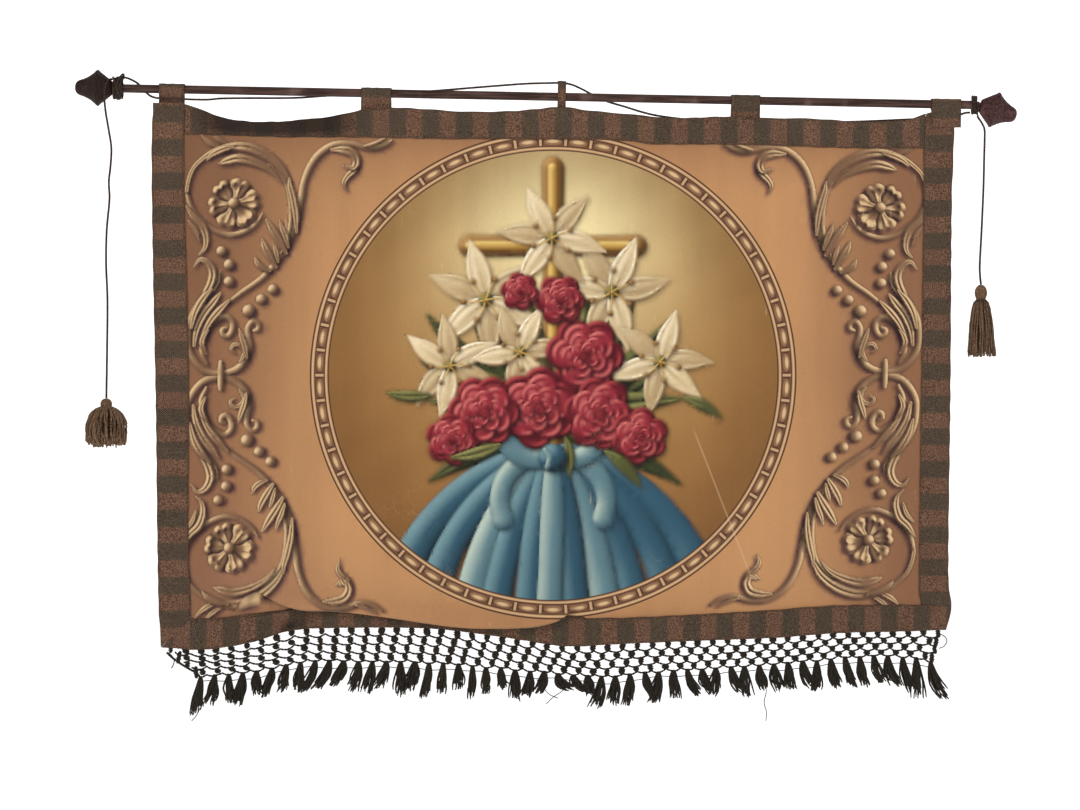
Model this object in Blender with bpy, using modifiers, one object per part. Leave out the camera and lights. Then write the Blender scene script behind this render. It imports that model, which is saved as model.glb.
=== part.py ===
"""A church banner hanging from its wooden rod, made in Blender.

Metres, +Z up, +X to the right, -Y towards the person who looks at the printed face.
The origin is at the middle of the rod's axis, where the banner is held up.
Tables and sizes are in millimetres and are scaled when an object is made.
"""

import math
import random

import bmesh
import bpy
from mathutils import Matrix, Vector

MM = 0.001

# Wood and cloth sizes
ROD_RADIUS = 6.25
ROD_LEFT = -619.5
ROD_RIGHT = 620.5
ROD_SLOPE = math.radians(1.12)
ROD_SIDES = 16
PANEL_THICK = 1.2
BAND_THICK = 1.5
TAPE_THICK = 1.2
CORD_THICK = 3.0
SEAM_GAP = 0.45
TAIL_GAP = 0.4
LOOP_GAP = 0.5
BAND_WIDTH = 45

# How far the galloon's middle lies in front of the panel's middle, and a tab's end behind or before it
BAND_LIFT = PANEL_THICK / 2 + SEAM_GAP + BAND_THICK / 2
TAIL_BEHIND = PANEL_THICK / 2 + TAIL_GAP + BAND_THICK / 2
TAIL_BEFORE = -(BAND_LIFT + BAND_THICK + TAIL_GAP)

# The cloth's edges seen from the front: (x, z) along a row of sewing, or (z, x) down a side
TOP_EDGE = (
    (-568, -9), (-522, -11), (-490, -22), (-462, -32), (-412, -38), (-368, -36),
    (-329, -32), (-290, -25), (-264, -19), (-222, -16), (-161, -19), (-115, -22),
    (-49, -21), (-12, -18), (25, -15), (62, -20), (117, -25), (186, -31), (264, -29),
    (312, -31), (386, -32), (457, -36), (521, -34), (560, -23), (594, -22),
)
PRINT_TOP = (
    (-570, -53), (-522, -55), (-442, -56), (-342, -58), (-238, -60), (-135, -62),
    (25, -62), (117, -64), (154, -69), (264, -70), (457, -75), (548, -75), (592, -76),
)
PRINT_FOOT = (
    (-560, -755), (-473, -756), (-423, -750), (-370, -744), (-312, -736), (-210, -731),
    (-109, -736), (-7, -746), (71, -757), (193, -752), (312, -745), (422, -738), (589, -737),
)
BAND_FOOT = (
    (-556, -798), (-499, -802), (-462, -798), (-425, -791), (-388, -779), (-370, -773),
    (-283, -770), (-167, -771), (-94, -779), (-33, -788), (29, -797), (103, -794),
    (215, -789), (341, -784), (422, -778), (534, -775), (581, -773),
)
LEFT_EDGE = ((-798, -556), (-730, -560), (-440, -564), (-251, -568), (-77, -570), (-7, -568))
PRINT_LEFT = ((-755, -512), (-730, -513), (-628, -516), (-440, -515), (-266, -518), (-150, -522), (-11, -522))
PRINT_RIGHT = ((-737, 545), (-715, 542), (-440, 545), (-193, 548), (-77, 549), (-22, 552))
RIGHT_EDGE = ((-775, 581), (-742, 589), (-701, 585), (-440, 588), (-148, 590), (-92, 592), (-22, 594))
NET_FOOT = (
    (-500, -840), (-425, -833), (-351, -819), (-283, -818), (-155, -820), (-74, -827),
    (-7, -833), (88, -840), (148, -834), (260, -826), (341, -821), (460, -811), (534, -813), (560, -820),
)

# The print's slack hangs over the foot band in one fold: (x, z) of its lip, (x, strength) of the fold
FOLD_LIP = (
    (-465, -699), (-434, -714), (-398, -730), (-361, -739), (-323, -743), (-248, -751),
    (-175, -762), (-125, -768), (-84, -769), (-33, -763), (22, -759), (60, -757),
)
FOLD_STRENGTH = ((-465, 0.0), (-385, 1.0), (-300, 1.0), (-100, 1.0), (-20, 1.0), (60, 0.0))
FOLD_BULGE = 18.0
FOLD_START = 1.84
# Down the fold: (share of its length, depth in bulges, what the height is measured from, height above it)
FOLD_PROFILE = (
    (0.25, 0.45, "lip", 45),
    (0.45, 0.95, "lip", 14),
    (0.52, 1.00, "lip", 4),
    (0.58, 0.85, "lip", 0),
    (0.64, 0.62, "lip", 3),
    (0.85, 0.36, "root", 1),
    (0.91, 0.20, "root", 6),
    (0.96, 0.03, "root", 3),
)
FOLD_ROOM = 14.0

# The slack top band leans forward between the first two tabs, and the whole cloth waves a little
LEAN_FROM = -514
LEAN_TO = -270
LEAN_AT_SEAM = 4.0
LEAN_AT_TOP = 28.0
LEAN_FADE = 40.0
# Waves: (depth, length, where in its turn it starts), and how far below the top they reach full depth
LONG_WAVE = (3.0, 430.0, 0.6)
SHORT_WAVE = (1.5, 230.0, 2.0)
SHORT_WAVE_TURN = 2
WAVE_START = 60.0

# Lines of the sheet's grid: x across, and rows down as in cloth_point
COLUMNS = (
    -480, -435, -400, -370, -325, -268, -222, -175, -125, -75, -25, 16, 60,
    105, 155, 210, 268, 314, 370, 425, 485,
)
ROWS = (1.2, 1.45, 1.7, FOLD_START)
FOLD_ROWS = tuple(FOLD_START + (2 - FOLD_START) * share for share, *rest in FOLD_PROFILE)
PRINT_SPAN = (-515, 545)
PRINT_HEIGHT = 680
BAND_TO_PRINT = BAND_WIDTH / PRINT_HEIGHT
MIDDLE_HEIGHT = -400.0
CROSSING_PASSES = 4
NORMAL_STEP = 0.01
EDGE_TUCK = 0.08
FOOT_TUCK = 2.8
SIDE_FOOT_ROW = 1.92
BUTT_GAP = 0.01
MITRE_GAP = 0.02
PRINT_GAP = 0.0007

# Tabs: name, middle x, width, how far the loop stands above the rod, how far below the axis its legs meet
# and its tail ends, the tail's depth behind the panel's middle, and the cloth's thickness
TABS = (
    ("tab_far_left", -541.0, 37.5, 0.0, 15.5, 34.0, TAIL_BEHIND, BAND_THICK),
    ("tab_left", -244.5, 44.5, 0.0, 16.0, 37.0, TAIL_BEHIND, BAND_THICK),
    ("loop_centre", 24.3, 12.3, 15.3, 11.0, 28.0, TAIL_BEHIND, TAPE_THICK),
    ("tab_right", 291.0, 42.8, 0.0, 16.0, 38.0, TAIL_BEHIND, BAND_THICK),
    ("tab_far_right", 581.5, 43.5, 0.0, 9.8, 33.5, TAIL_BEFORE, BAND_THICK),
)
LOOP_STEPS = 9

# Turned end, from nose to spigot: (distance from the neck, radius)
FINIAL_PROFILE = (
    (54.7, 0.0), (53.6, 6.5), (51.5, 10.5), (47.5, 12.0), (40.0, 11.8), (34.0, 14.0),
    (28.0, 19.0), (22.7, 25.8), (21.6, 26.5), (20.3, 25.6), (13.0, 17.5), (6.0, 12.0),
    (1.5, 10.0), (0.0, 8.5), (0.0, 4.0), (-6.5, 4.0), (-6.5, 0.0),
)
FINIAL_STEPS = 16
FINIAL_LEFT_NECK = -626.7
FINIAL_RIGHT_NECK = (630.9, -12.9)
FINIAL_RIGHT_DROOP = math.radians(16.5)

# Cord bindings: name, from x, to x, outer radius, turns
WRAPS = (
    ("wrap_left", -626.4, -612.0, 17.8, 4),
    ("wrap_right", 617.7, 628.2, 14.5, 3),
)
WRAP_BORE = 6.8
WRAP_GROOVE = 1.5
WRAP_STEPS = 12

# Routes of the cords, points chosen by hand: (x, y, z)
HANGING_CORD = (
    (-610.6, -3, 27.3), (-606, -3, 26.8), (-596, 1, 22.6), (-589.6, 7, 18.2), (-583, 10, 10.5), (-574, 5.6, 2.4),
    (-564, -3, -2), (-553, -5, -3.2), (-532, -5, -3.6), (-510, -4.4, -4.6), (-487, -3, -4.6),
    (-471, -2, -3), (-428, 0, -2.2), (-390, 2.4, -2), (-355, 5.2, -1), (-318, 8.6, 2),
    (-283, 10.6, 4), (-245, 11, 5), (-212, 10.4, 6), (-187, 9, 7.5), (-150, 6.4, 9.8),
    (-119, 3, 12), (-65, 0, 16), (-25, 0, 18.8), (5, 0, 19.6), (25, 0, 19.8), (38, 1, 17.6),
    (52, 3.8, 12), (63, 7.2, 6.6), (74, 9.4, 0.6), (86, 9, -4.6), (100, 7, -9.4),
    (117, 5.6, -14.4), (136, 5.8, -20.4), (158, 6.2, -26), (196, 6, -31.5), (240, 6, -35),
    (291, 6, -37), (345, 6, -37.6), (399, 6, -37), (460, 6.4, -35.4), (515, 7.4, -33),
    (560, 9, -30.6), (590, 9.4, -28), (602, 7, -25.6), (611, 2.4, -23.2), (616.6, 2, -23.1),
)
TASSEL_CORD_LEFT = (
    (-627.9, -1, 24.9), (-629.2, -4.4, 24.7), (-631.7, -10, 22.4), (-634.7, -16.2, 15.2),
    (-636.8, -16.8, 6.4), (-637.4, -13.4, -0.8), (-637.2, -9.8, -9), (-636, -6, -24),
    (-632, -4, -49), (-628.4, -3, -74), (-629.4, -3, -99), (-632, -3, -124), (-631, -3, -148),
    (-635, -3, -193), (-636, -3, -240), (-634, -3, -295), (-634.6, -3, -370), (-635.6, -3, -437.4),
)
TASSEL_CORD_RIGHT = (
    (626.6, -1, -27.2), (628.6, -1, -31.5), (633, -1, -38), (637, -1, -47), (637.4, -1, -60),
    (636.6, -1, -90), (636, -1, -120), (635, -1, -148), (632.6, -1, -200), (630.2, -1, -245),
    (630.6, -1, -259), (632, -1, -272.7),
)
CORD_STEP = 8.5
CORD_MOST_POINTS = 79
ROUTE_STEPS = 24

# Tassels: name, head's middle, head's radius and height, locks in a ring
# Then, down a lock: (drop below the head's middle, distance from the axis, width, depth)
TASSELS = (
    (
        "tassel_left", (-635.8, -3, -445.7), 8.35, 15.6,
        ((7, 15, 7, 5), (24, 25, 11, 8), (44, 25.5, 10, 7)),
        ((14, 6, 4, 4), (30, 11, 6.5, 6.5), (50, 11.5, 6, 6)),
    ),
    (
        "tassel_right", (631.8, -1, -284.6), 8.85, 23.0,
        ((13, 11, 5.5, 4), (35, 14.5, 7.5, 5), (68, 17, 8, 5)),
        ((16, 4.4, 2.6, 3), (38, 5.8, 3.2, 4), (71, 6.6, 3.4, 4)),
    ),
)
TASSEL_LOCKS = 10
TASSEL_RINGS = 6
TASSEL_WAIST = 0.45
TASSEL_ROOT_INSET = 0.35

# The knotted net: hexagonal meshes in a brick bond
NET_MESHES = 51
NET_ROWS = 4
NET_PITCH = 21.0
NET_ROW_DROP = 11.0
NET_ZIGZAG = 1.6
NET_THREAD = 1.9
NET_KNOT = 5.4
NET_HALF_DEPTH = 1.9
NET_HEAD_HALF_DEPTH = 0.6
NET_LIFT = 0.5
NET_RIM = 1.2
NET_TOP_SPAN = (-548, 572)
NET_FOOT_SPAN = (-500, 560)
NET_HEAD_ROW = 2.97
KNOT_PLACE = 0.6
HALF_MESH = 0.3
MIRROR_MERGE = 1e-4

# The yarn locks under the net: (x, sideways lean, drop) of a lock's tip
LOCK_TIPS = (
    (-500, -19, 58), (-470, -14, 46), (-400, -12, 44), (-300, -10, 42), (-150, -5, 44),
    (0, -1, 38), (120, 3, 44), (260, 7, 40), (400, 9, 44), (520, 7, 48), (560, 7, 60),
)
LOCK_SCATTER = 2.5
# Down a lock: (share of its length, half its width), and how far it bends off a straight line
LOCK_SECTIONS = ((0.12, 2.8), (0.5, 4.1), (1.0, 4.6))
LOCK_BEND = 0.6
LOCK_ROOT = 0.8
LOCK_SEED = 7


def slope_at(table, i):
    """The slope of a smooth curve through a two-column table at its row i."""
    before = table[max(i - 1, 0)]
    after = table[min(i + 1, len(table) - 1)]
    return (after[1] - before[1]) / (after[0] - before[0])


def along(table, place):
    """The value of a two-column table at a place, on a smooth curve through its rows."""
    if place <= table[0][0]:
        return table[0][1]
    if place >= table[-1][0]:
        return table[-1][1]
    i = max(k for k in range(len(table) - 1) if table[k][0] <= place)
    (start, low), (end, high) = table[i][:2], table[i + 1][:2]
    span = end - start
    t = (place - start) / span
    bend_in = slope_at(table, i) * span
    bend_out = slope_at(table, i + 1) * span
    return (
        (2 * t**3 - 3 * t**2 + 1) * low
        + (t**3 - 2 * t**2 + t) * bend_in
        + (3 * t**2 - 2 * t**3) * high
        + (t**3 - t**2) * bend_out
    )


def ease(t):
    t = min(max(t, 0.0), 1.0)
    return t * t * (3 - 2 * t)


def between(lines, at, place):
    """Between neighbouring lines of sewing, numbered 0 to 3, at a place along them."""
    i = min(int(at), 2)
    near = along(lines[i], place)
    far = along(lines[i + 1], place)
    return near + (far - near) * (at - i)


SIDE_LINES = (LEFT_EDGE, PRINT_LEFT, PRINT_RIGHT, RIGHT_EDGE)
LEVEL_LINES = (TOP_EDGE, PRINT_TOP, PRINT_FOOT, BAND_FOOT)


def face_place(u, v):
    """Where a point of the sheet is seen from the front, as (x, z), if it hung without its fold.

    u runs across and v down. 0 is the outer edge, 1 and 2 are the print's edges, 3 is the far edge.
    """
    z = MIDDLE_HEIGHT
    for _ in range(CROSSING_PASSES):
        x = between(SIDE_LINES, u, z)
        z = between(LEVEL_LINES, v, x)
    return x, z


def waves(x, v, below_top):
    """The slow waves of the hanging cloth, and the forward lean of its slack top band."""
    long_size, long_length, long_start = LONG_WAVE
    short_size, short_length, short_start = SHORT_WAVE
    middle = math.sin(math.pi * min(max(v - 1, 0), 1))
    depth = long_size * math.sin(math.tau * x / long_length + long_start)
    depth += short_size * middle * math.sin(math.tau * x / short_length + short_start + SHORT_WAVE_TURN * v)
    depth *= ease(below_top / WAVE_START)
    if LEAN_FROM < x < LEAN_TO:
        swing = math.sin(math.pi * (x - LEAN_FROM) / (LEAN_TO - LEAN_FROM)) ** 2
        above_seam = max(1 - v, 0)
        fade = math.exp(-max(v - 1, 0) * PRINT_HEIGHT / LEAN_FADE)
        depth -= swing * (LEAN_AT_SEAM * fade + (LEAN_AT_TOP - LEAN_AT_SEAM) * above_seam)
    return depth


def fold_height(kind, height, lip, root):
    return (lip if kind == "lip" else root) + height


def sheet_point(u, v):
    """A point of the hanging sheet's middle, in millimetres."""
    x, z = face_place(u, v)
    y = waves(x, v, along(TOP_EDGE, x) - z)
    strength = along(FOLD_STRENGTH, x)
    if v <= FOLD_START or v >= 2 or strength <= 0:
        return Vector((x, y, z))
    foot = along(PRINT_FOOT, x)
    start = between(LEVEL_LINES, FOLD_START, x)
    lip = along(FOLD_LIP, x)
    root = max(foot, lip + FOLD_ROOM)
    share = (v - FOLD_START) / (2 - FOLD_START)
    heights = [(0.0, start)]
    heights += [(at, fold_height(kind, up, lip, root)) for at, _, kind, up in FOLD_PROFILE]
    heights += [(1.0, foot)]
    depths = [(0.0, 0.0)] + [(at, out) for at, out, _, _ in FOLD_PROFILE] + [(1.0, 0.0)]
    z += (along(heights, share) - z) * strength
    y -= FOLD_BULGE * strength * along(depths, share)
    return Vector((x, y, z))


def cloth_point(u, v, lift=0.0):
    """A point of the sheet, lifted off its middle towards the front, in metres."""
    middle = sheet_point(u, v)
    if lift == 0.0:
        return middle * MM
    step = NORMAL_STEP
    above = v - (step if v <= 1 or v > 2 else step * BAND_TO_PRINT)
    below = v + (step if v < 1 or v >= 2 else step * BAND_TO_PRINT)
    across = sheet_point(min(u + step, 3), v) - sheet_point(max(u - step, 0), v)
    down = sheet_point(u, min(below, 3)) - sheet_point(u, max(above, 0))
    front = down.cross(across).normalized()
    if front.y > 0:
        front = -front
    return (middle + front * lift) * MM


def column_u(x):
    return 1 + (x - PRINT_SPAN[0]) / (PRINT_SPAN[1] - PRINT_SPAN[0])


def material(name, colour, roughness):
    made = bpy.data.materials.new(name)
    made.use_nodes = True
    surface = made.node_tree.nodes["Principled BSDF"]
    surface.inputs["Base Color"].default_value = (*colour, 1.0)
    surface.inputs["Roughness"].default_value = roughness
    surface.inputs["Metallic"].default_value = 0.0
    return made


def add_object(name, data, surface, parent=None):
    data.materials.append(surface)
    made = bpy.data.objects.new(name, data)
    made.parent = parent
    banner.objects.link(made)
    return made


def mesh_object(name, bm, surface, parent=None):
    bmesh.ops.recalc_face_normals(bm, faces=bm.faces[:])
    mesh = bpy.data.meshes.new(name)
    bm.to_mesh(mesh)
    bm.free()
    return add_object(name, mesh, surface, parent)


def sheet_object(name, lines, lift, thickness, surface):
    """A sheet of cloth laid through lines of (u, v), thickened evenly to both sides."""
    rows = len(lines)
    across = len(lines[0])
    bm = bmesh.new()
    bmesh.ops.create_grid(bm, x_segments=across - 1, y_segments=rows - 1, size=0.5)
    for vert in bm.verts:
        i = round((vert.co.x + 0.5) * (across - 1))
        j = round((0.5 - vert.co.y) * (rows - 1))
        vert.co = cloth_point(*lines[j][i], lift)
    bmesh.ops.triangulate(bm, faces=bm.faces[:], quad_method="FIXED")
    made = mesh_object(name, bm, surface)
    thick = made.modifiers.new("Thickness", "SOLIDIFY")
    thick.thickness = thickness * MM
    thick.offset = 0.0
    return made


def make_panel():
    across = [EDGE_TUCK, 1.0, *map(column_u, COLUMNS), 2.0, 3 - EDGE_TUCK]
    down = [EDGE_TUCK, 1.0, *ROWS, *FOLD_ROWS, 2.0, FOOT_TUCK]
    lines = [[(u, v) for u in across] for v in down]
    sheet_object("panel", lines, 0.0, PANEL_THICK, print_cloth)


def make_bands():
    """Galloon round the print. It is mitred at the foot's left corner and butted elsewhere."""
    columns = [1.0, *map(column_u, COLUMNS), 2.0]
    top = [[(u, v) for u in columns] for v in (0.0, EDGE_TUCK, 1.0)]
    side_rows = (0.0, EDGE_TUCK, 1.0, *ROWS, SIDE_FOOT_ROW)
    left = [[(u, v) for u in (0.0, EDGE_TUCK, 1 - BUTT_GAP)] for v in side_rows]
    mitre = ((0.0, 3.0), (3 - FOOT_TUCK, FOOT_TUCK), (1.0, 2.0))
    left.append([(0.0, 3 - MITRE_GAP), (3 - FOOT_TUCK, FOOT_TUCK - MITRE_GAP), (1 - BUTT_GAP, 2 - PRINT_GAP)])
    right = [[(u, v) for u in (2 + BUTT_GAP, 3 - EDGE_TUCK, 3.0)] for v in (*side_rows, 2 - PRINT_GAP)]
    foot = []
    for first_u, v in reversed(mitre):
        foot.append([(first_u, v), *((u, v) for u in columns[1:]), (3 - EDGE_TUCK, v), (3.0, v)])
    for name, lines in (
        ("band_top", top),
        ("band_left", left),
        ("band_right", right),
        ("band_bottom", foot),
    ):
        sheet_object(name, lines, BAND_LIFT, BAND_THICK, galloon)


def turned(name, profile, steps, surface, parent=None):
    """A profile of (height, radius) turned about Z."""
    bm = bmesh.new()
    verts = [bm.verts.new((radius * MM, 0, height * MM)) for height, radius in profile]
    for start, end in zip(verts, verts[1:]):
        bm.edges.new((start, end))
    if profile[0][1] > 0:
        bm.edges.new((verts[-1], verts[0]))
    mesh = bpy.data.meshes.new(name)
    bm.to_mesh(mesh)
    bm.free()
    made = add_object(name, mesh, surface, parent)
    screw = made.modifiers.new("Turn", "SCREW")
    screw.axis = "Z"
    screw.steps = steps
    screw.render_steps = steps
    screw.use_merge_vertices = True
    screw.merge_threshold = 1e-6
    screw.use_smooth_shade = True
    return made


def make_rod(rod_line):
    length = ROD_RIGHT - ROD_LEFT
    bm = bmesh.new()
    bmesh.ops.create_cone(
        bm, cap_ends=True, segments=ROD_SIDES,
        radius1=ROD_RADIUS * MM, radius2=ROD_RADIUS * MM, depth=length * MM,
    )
    rod = mesh_object("rod", bm, wood, rod_line)
    rod.rotation_euler = (0, math.pi / 2, 0)
    rod.location.x = (ROD_LEFT + ROD_RIGHT) / 2 * MM


def make_finials(rod_line):
    left = turned("finial_left", FINIAL_PROFILE, FINIAL_STEPS, dark_wood, rod_line)
    left.rotation_euler = (0, -math.pi / 2, 0)
    left.location.x = FINIAL_LEFT_NECK * MM
    right = turned("finial_right", FINIAL_PROFILE, FINIAL_STEPS, red_wood)
    right.rotation_euler = (0, math.pi / 2 + FINIAL_RIGHT_DROOP, 0)
    neck_x, neck_z = FINIAL_RIGHT_NECK
    right.location = Vector((neck_x, 0, neck_z)) * MM


def make_wraps(rod_line):
    for name, start, end, radius, turns in WRAPS:
        half = (end - start) / 2
        outside = []
        for k in range(2 * turns + 1):
            height = half - k * (end - start) / (2 * turns)
            outside.append((height, radius if k % 2 else radius - WRAP_GROOVE))
        profile = [*outside, (-half, WRAP_BORE), (half, WRAP_BORE)]
        wrap = turned(name, profile, WRAP_STEPS, cord_yarn, rod_line)
        wrap.rotation_euler = (0, math.pi / 2, 0)
        wrap.location.x = (start + end) / 2 * MM


def loop_round_rod(radius, rise, back_foot, front_foot):
    """Points of (y, z) up from one foot, over the rod, and down to the other."""
    back_angle = math.atan2(back_foot[1], back_foot[0]) + math.acos(radius / math.hypot(*back_foot))
    front_angle = math.atan2(front_foot[1], front_foot[0]) - math.acos(radius / math.hypot(*front_foot))
    front_angle += math.tau
    points = []
    for k in range(LOOP_STEPS + 1):
        angle = back_angle + (front_angle - back_angle) * k / LOOP_STEPS
        up = rise if 0 <= angle <= math.pi else 0.0
        points.append((radius * math.cos(angle), radius * math.sin(angle) + up))
    return points


def make_tabs(rod_line):
    """Loops of galloon or tape over the rod, whose legs meet in one tail sewn to the cloth."""
    from_curve = Matrix(((0, 0, 1, 0), (1, 0, 0, 0), (0, 1, 0, 0), (0, 0, 0, 1)))
    for name, x, width, rise, meet, end, tail_y, thick in TABS:
        bore = ROD_RADIUS + LOOP_GAP
        back_foot = (tail_y + thick / 2, -meet)
        front_foot = (tail_y - thick / 2, -meet)
        outside = loop_round_rod(bore + thick, rise, back_foot, front_foot)
        outside += [front_foot, (front_foot[0], -end), (back_foot[0], -end), back_foot]
        crotch = (tail_y, -meet + thick)
        inside = [*loop_round_rod(bore, rise, crotch, crotch), crotch]
        curve = bpy.data.curves.new(name, "CURVE")
        curve.dimensions = "2D"
        curve.fill_mode = "BOTH"
        curve.extrude = width / 2 * MM
        curve.render_resolution_u = 0
        for points in (outside, inside):
            spline = curve.splines.new("POLY")
            spline.points.add(len(points) - 1)
            for point, (y, z) in zip(spline.points, points):
                point.co = (y * MM, z * MM, 0, 1)
            spline.use_cyclic_u = True
        tab = add_object(name, curve, galloon, rod_line)
        tab.matrix_local = Matrix.Translation((x * MM, 0, 0)) @ from_curve


def smooth_route(route, step, most):
    """Even points on a smooth curve through a route's own points."""
    points = [Vector(point) for point in route]
    fine = []
    for i in range(len(points) - 1):
        before = points[max(i - 1, 0)]
        start, end = points[i], points[i + 1]
        after = points[min(i + 2, len(points) - 1)]
        span = (end - start).length
        lead_in = (end - before) * (span / max((end - before).length, span))
        lead_out = (after - start) * (span / max((after - start).length, span))
        for k in range(ROUTE_STEPS):
            t = k / ROUTE_STEPS
            fine.append(
                start * (2 * t**3 - 3 * t**2 + 1)
                + lead_in * (t**3 - 2 * t**2 + t)
                + end * (3 * t**2 - 2 * t**3)
                + lead_out * (t**3 - t**2)
            )
    fine.append(points[-1])
    reach = [0.0]
    for start, end in zip(fine, fine[1:]):
        reach.append(reach[-1] + (end - start).length)
    count = min(most, max(2, round(reach[-1] / step)))
    even = []
    k = 0
    for n in range(count + 1):
        target = reach[-1] * n / count
        while k < len(reach) - 2 and reach[k + 1] < target:
            k += 1
        share = (target - reach[k]) / (reach[k + 1] - reach[k])
        even.append(fine[k].lerp(fine[k + 1], share))
    return even, reach[-1]


def make_cords():
    for name, route in (
        ("hanging_cord", HANGING_CORD),
        ("tassel_cord_left", TASSEL_CORD_LEFT),
        ("tassel_cord_right", TASSEL_CORD_RIGHT),
    ):
        points, length = smooth_route(route, CORD_STEP, CORD_MOST_POINTS)
        curve = bpy.data.curves.new(name, "CURVE")
        curve.dimensions = "3D"
        curve.bevel_depth = CORD_THICK / 2 * MM
        curve.bevel_resolution = 2
        curve.use_fill_caps = True
        curve.render_resolution_u = 0
        spline = curve.splines.new("POLY")
        spline.points.add(len(points) - 1)
        for place, point in zip(points, spline.points):
            point.co = (*(place * MM), 1)
        add_object(name, curve, cord_yarn)
        print(f"{name}: {length:.0f} mm long")


def lock_corners(face, section, head):
    """The corners of a tassel lock's next section, each on its own side of the lock."""
    drop, distance, width, depth = section
    middle = face.calc_center_median()
    outward = Vector((middle.x - head.x, middle.y - head.y, 0)).normalized()
    sideways = Vector((-outward.y, outward.x, 0))
    centre = Vector((head.x, head.y, head.z - drop * MM)) + outward * distance * MM
    inner = min((loop.vert.co - middle).dot(outward) for loop in face.loops)
    places = []
    for loop in face.loops:
        offset = loop.vert.co - middle
        if len(face.loops) == 3 and offset.dot(outward) == inner:
            places.append(centre - outward * depth / 2 * MM)
            continue
        out = 1 if offset.dot(outward) > 0 else -1
        side = 1 if offset.dot(sideways) > 0 else -1
        places.append(centre + outward * (out * depth / 2 * MM) + sideways * (side * width / 2 * MM))
    return places


def make_tassels():
    """A round head with locks of yarn that grow from the lower half of it."""
    for name, middle, radius, height, outer_lock, inner_lock in TASSELS:
        head = Vector(middle) * MM
        bm = bmesh.new()
        bmesh.ops.create_uvsphere(bm, u_segments=TASSEL_LOCKS, v_segments=TASSEL_RINGS, radius=1.0)
        size = Matrix.Diagonal((radius * MM, radius * MM, height / 2 * MM, 1))
        bmesh.ops.transform(bm, matrix=Matrix.Translation(head) @ size, verts=bm.verts[:])
        waist = head.z - TASSEL_WAIST * height / 2 * MM
        lower = [face for face in bm.faces if face.calc_center_median().z < waist]
        bmesh.ops.inset_individual(bm, faces=lower, thickness=TASSEL_ROOT_INSET * MM)
        for face in lower:
            sections = inner_lock if len(face.verts) == 3 else outer_lock
            tip = face
            for corners in [lock_corners(face, section, head) for section in sections]:
                tip = bmesh.ops.extrude_discrete_faces(bm, faces=[tip])["faces"][0]
                for loop, corner in zip(tip.loops, corners):
                    loop.vert.co = corner
        mesh_object(name, bm, tassel_yarn)


def brick_bond():
    """A flat grid of six-sided meshes, hung from its top line, in millimetres."""
    columns = 2 * NET_MESHES
    bm = bmesh.new()
    bmesh.ops.create_grid(bm, x_segments=columns, y_segments=NET_ROWS, size=0.5)
    for vert in bm.verts:
        vert.co = Vector(((vert.co.x + 0.5) * columns, 0, (vert.co.y - 0.5) * NET_ROWS))
    loose = []
    for edge in bm.edges:
        first, second = edge.verts
        column = round(first.co.x)
        row = round(-(first.co.z + second.co.z) / 2 - 0.5)
        upright = column == round(second.co.x)
        if upright and 0 < column < columns and (column + row) % 2:
            loose.append(edge)
    bmesh.ops.dissolve_edges(bm, edges=loose, use_verts=False)
    for vert in bm.verts:
        column, line = round(vert.co.x), round(-vert.co.z)
        hangs = column % 2 == line % 2
        shift = 0 if line == 0 else (-NET_ZIGZAG if hangs else NET_ZIGZAG)
        vert.co = Vector((column * NET_PITCH / 2, 0, -line * NET_ROW_DROP + shift))
    return bm


def open_meshes(bm):
    """Opens each mesh between thin threads and wide knots. Returns the threads' middle points and outer edges."""
    meshes = bm.faces[:]
    bmesh.ops.inset_individual(bm, faces=meshes, thickness=NET_THREAD / 2, use_even_offset=True)
    widen = (NET_KNOT - NET_THREAD) / 2
    climb = 2 * NET_ZIGZAG / (NET_PITCH / 2)
    for face in meshes:
        middle = face.calc_center_median()
        half = max(abs(loop.vert.co.x - middle.x) for loop in face.loops)
        for loop in face.loops:
            offset = loop.vert.co - middle
            if abs(offset.x) < half * KNOT_PLACE or half < NET_PITCH * HALF_MESH:
                continue
            loop.vert.co.x -= math.copysign(widen, offset.x)
            loop.vert.co.z += math.copysign(widen * climb, offset.z)
    bore = {vert for face in meshes for vert in face.verts}
    bmesh.ops.delete(bm, geom=meshes, context="FACES_ONLY")
    frame = [vert for vert in bm.verts if vert not in bore]
    rim = [edge for edge in bm.edges if edge.is_boundary and bore.isdisjoint(edge.verts)]
    return frame, rim


def thicken_net(bm, frame, rim):
    """Raises the threads to both sides and closes the net's outer rim. Returns the places of its lower knots."""
    for vert in frame:
        head = round(-vert.co.z / NET_ROW_DROP) == 0
        vert.co.y = -(NET_HEAD_HALF_DEPTH if head else NET_HALF_DEPTH)
    grown = bmesh.ops.extrude_edge_only(bm, edges=rim)["geom"]
    columns = 2 * NET_MESHES
    roots = []
    for vert in (item for item in grown if isinstance(item, bmesh.types.BMVert)):
        vert.co.y = 0
        column = round(vert.co.x / (NET_PITCH / 2))
        line = round(-vert.co.z / NET_ROW_DROP)
        if column in (0, columns):
            vert.co.x += -NET_RIM if column == 0 else NET_RIM
        if line in (0, NET_ROWS):
            vert.co.z += NET_RIM if line == 0 else -NET_RIM
        if line == NET_ROWS and column % 2 == 0:
            roots.append(vert.co.copy())
    bmesh.ops.mirror(bm, geom=bm.verts[:] + bm.edges[:] + bm.faces[:], axis="Y", merge_dist=MIRROR_MERGE)
    return roots


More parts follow.
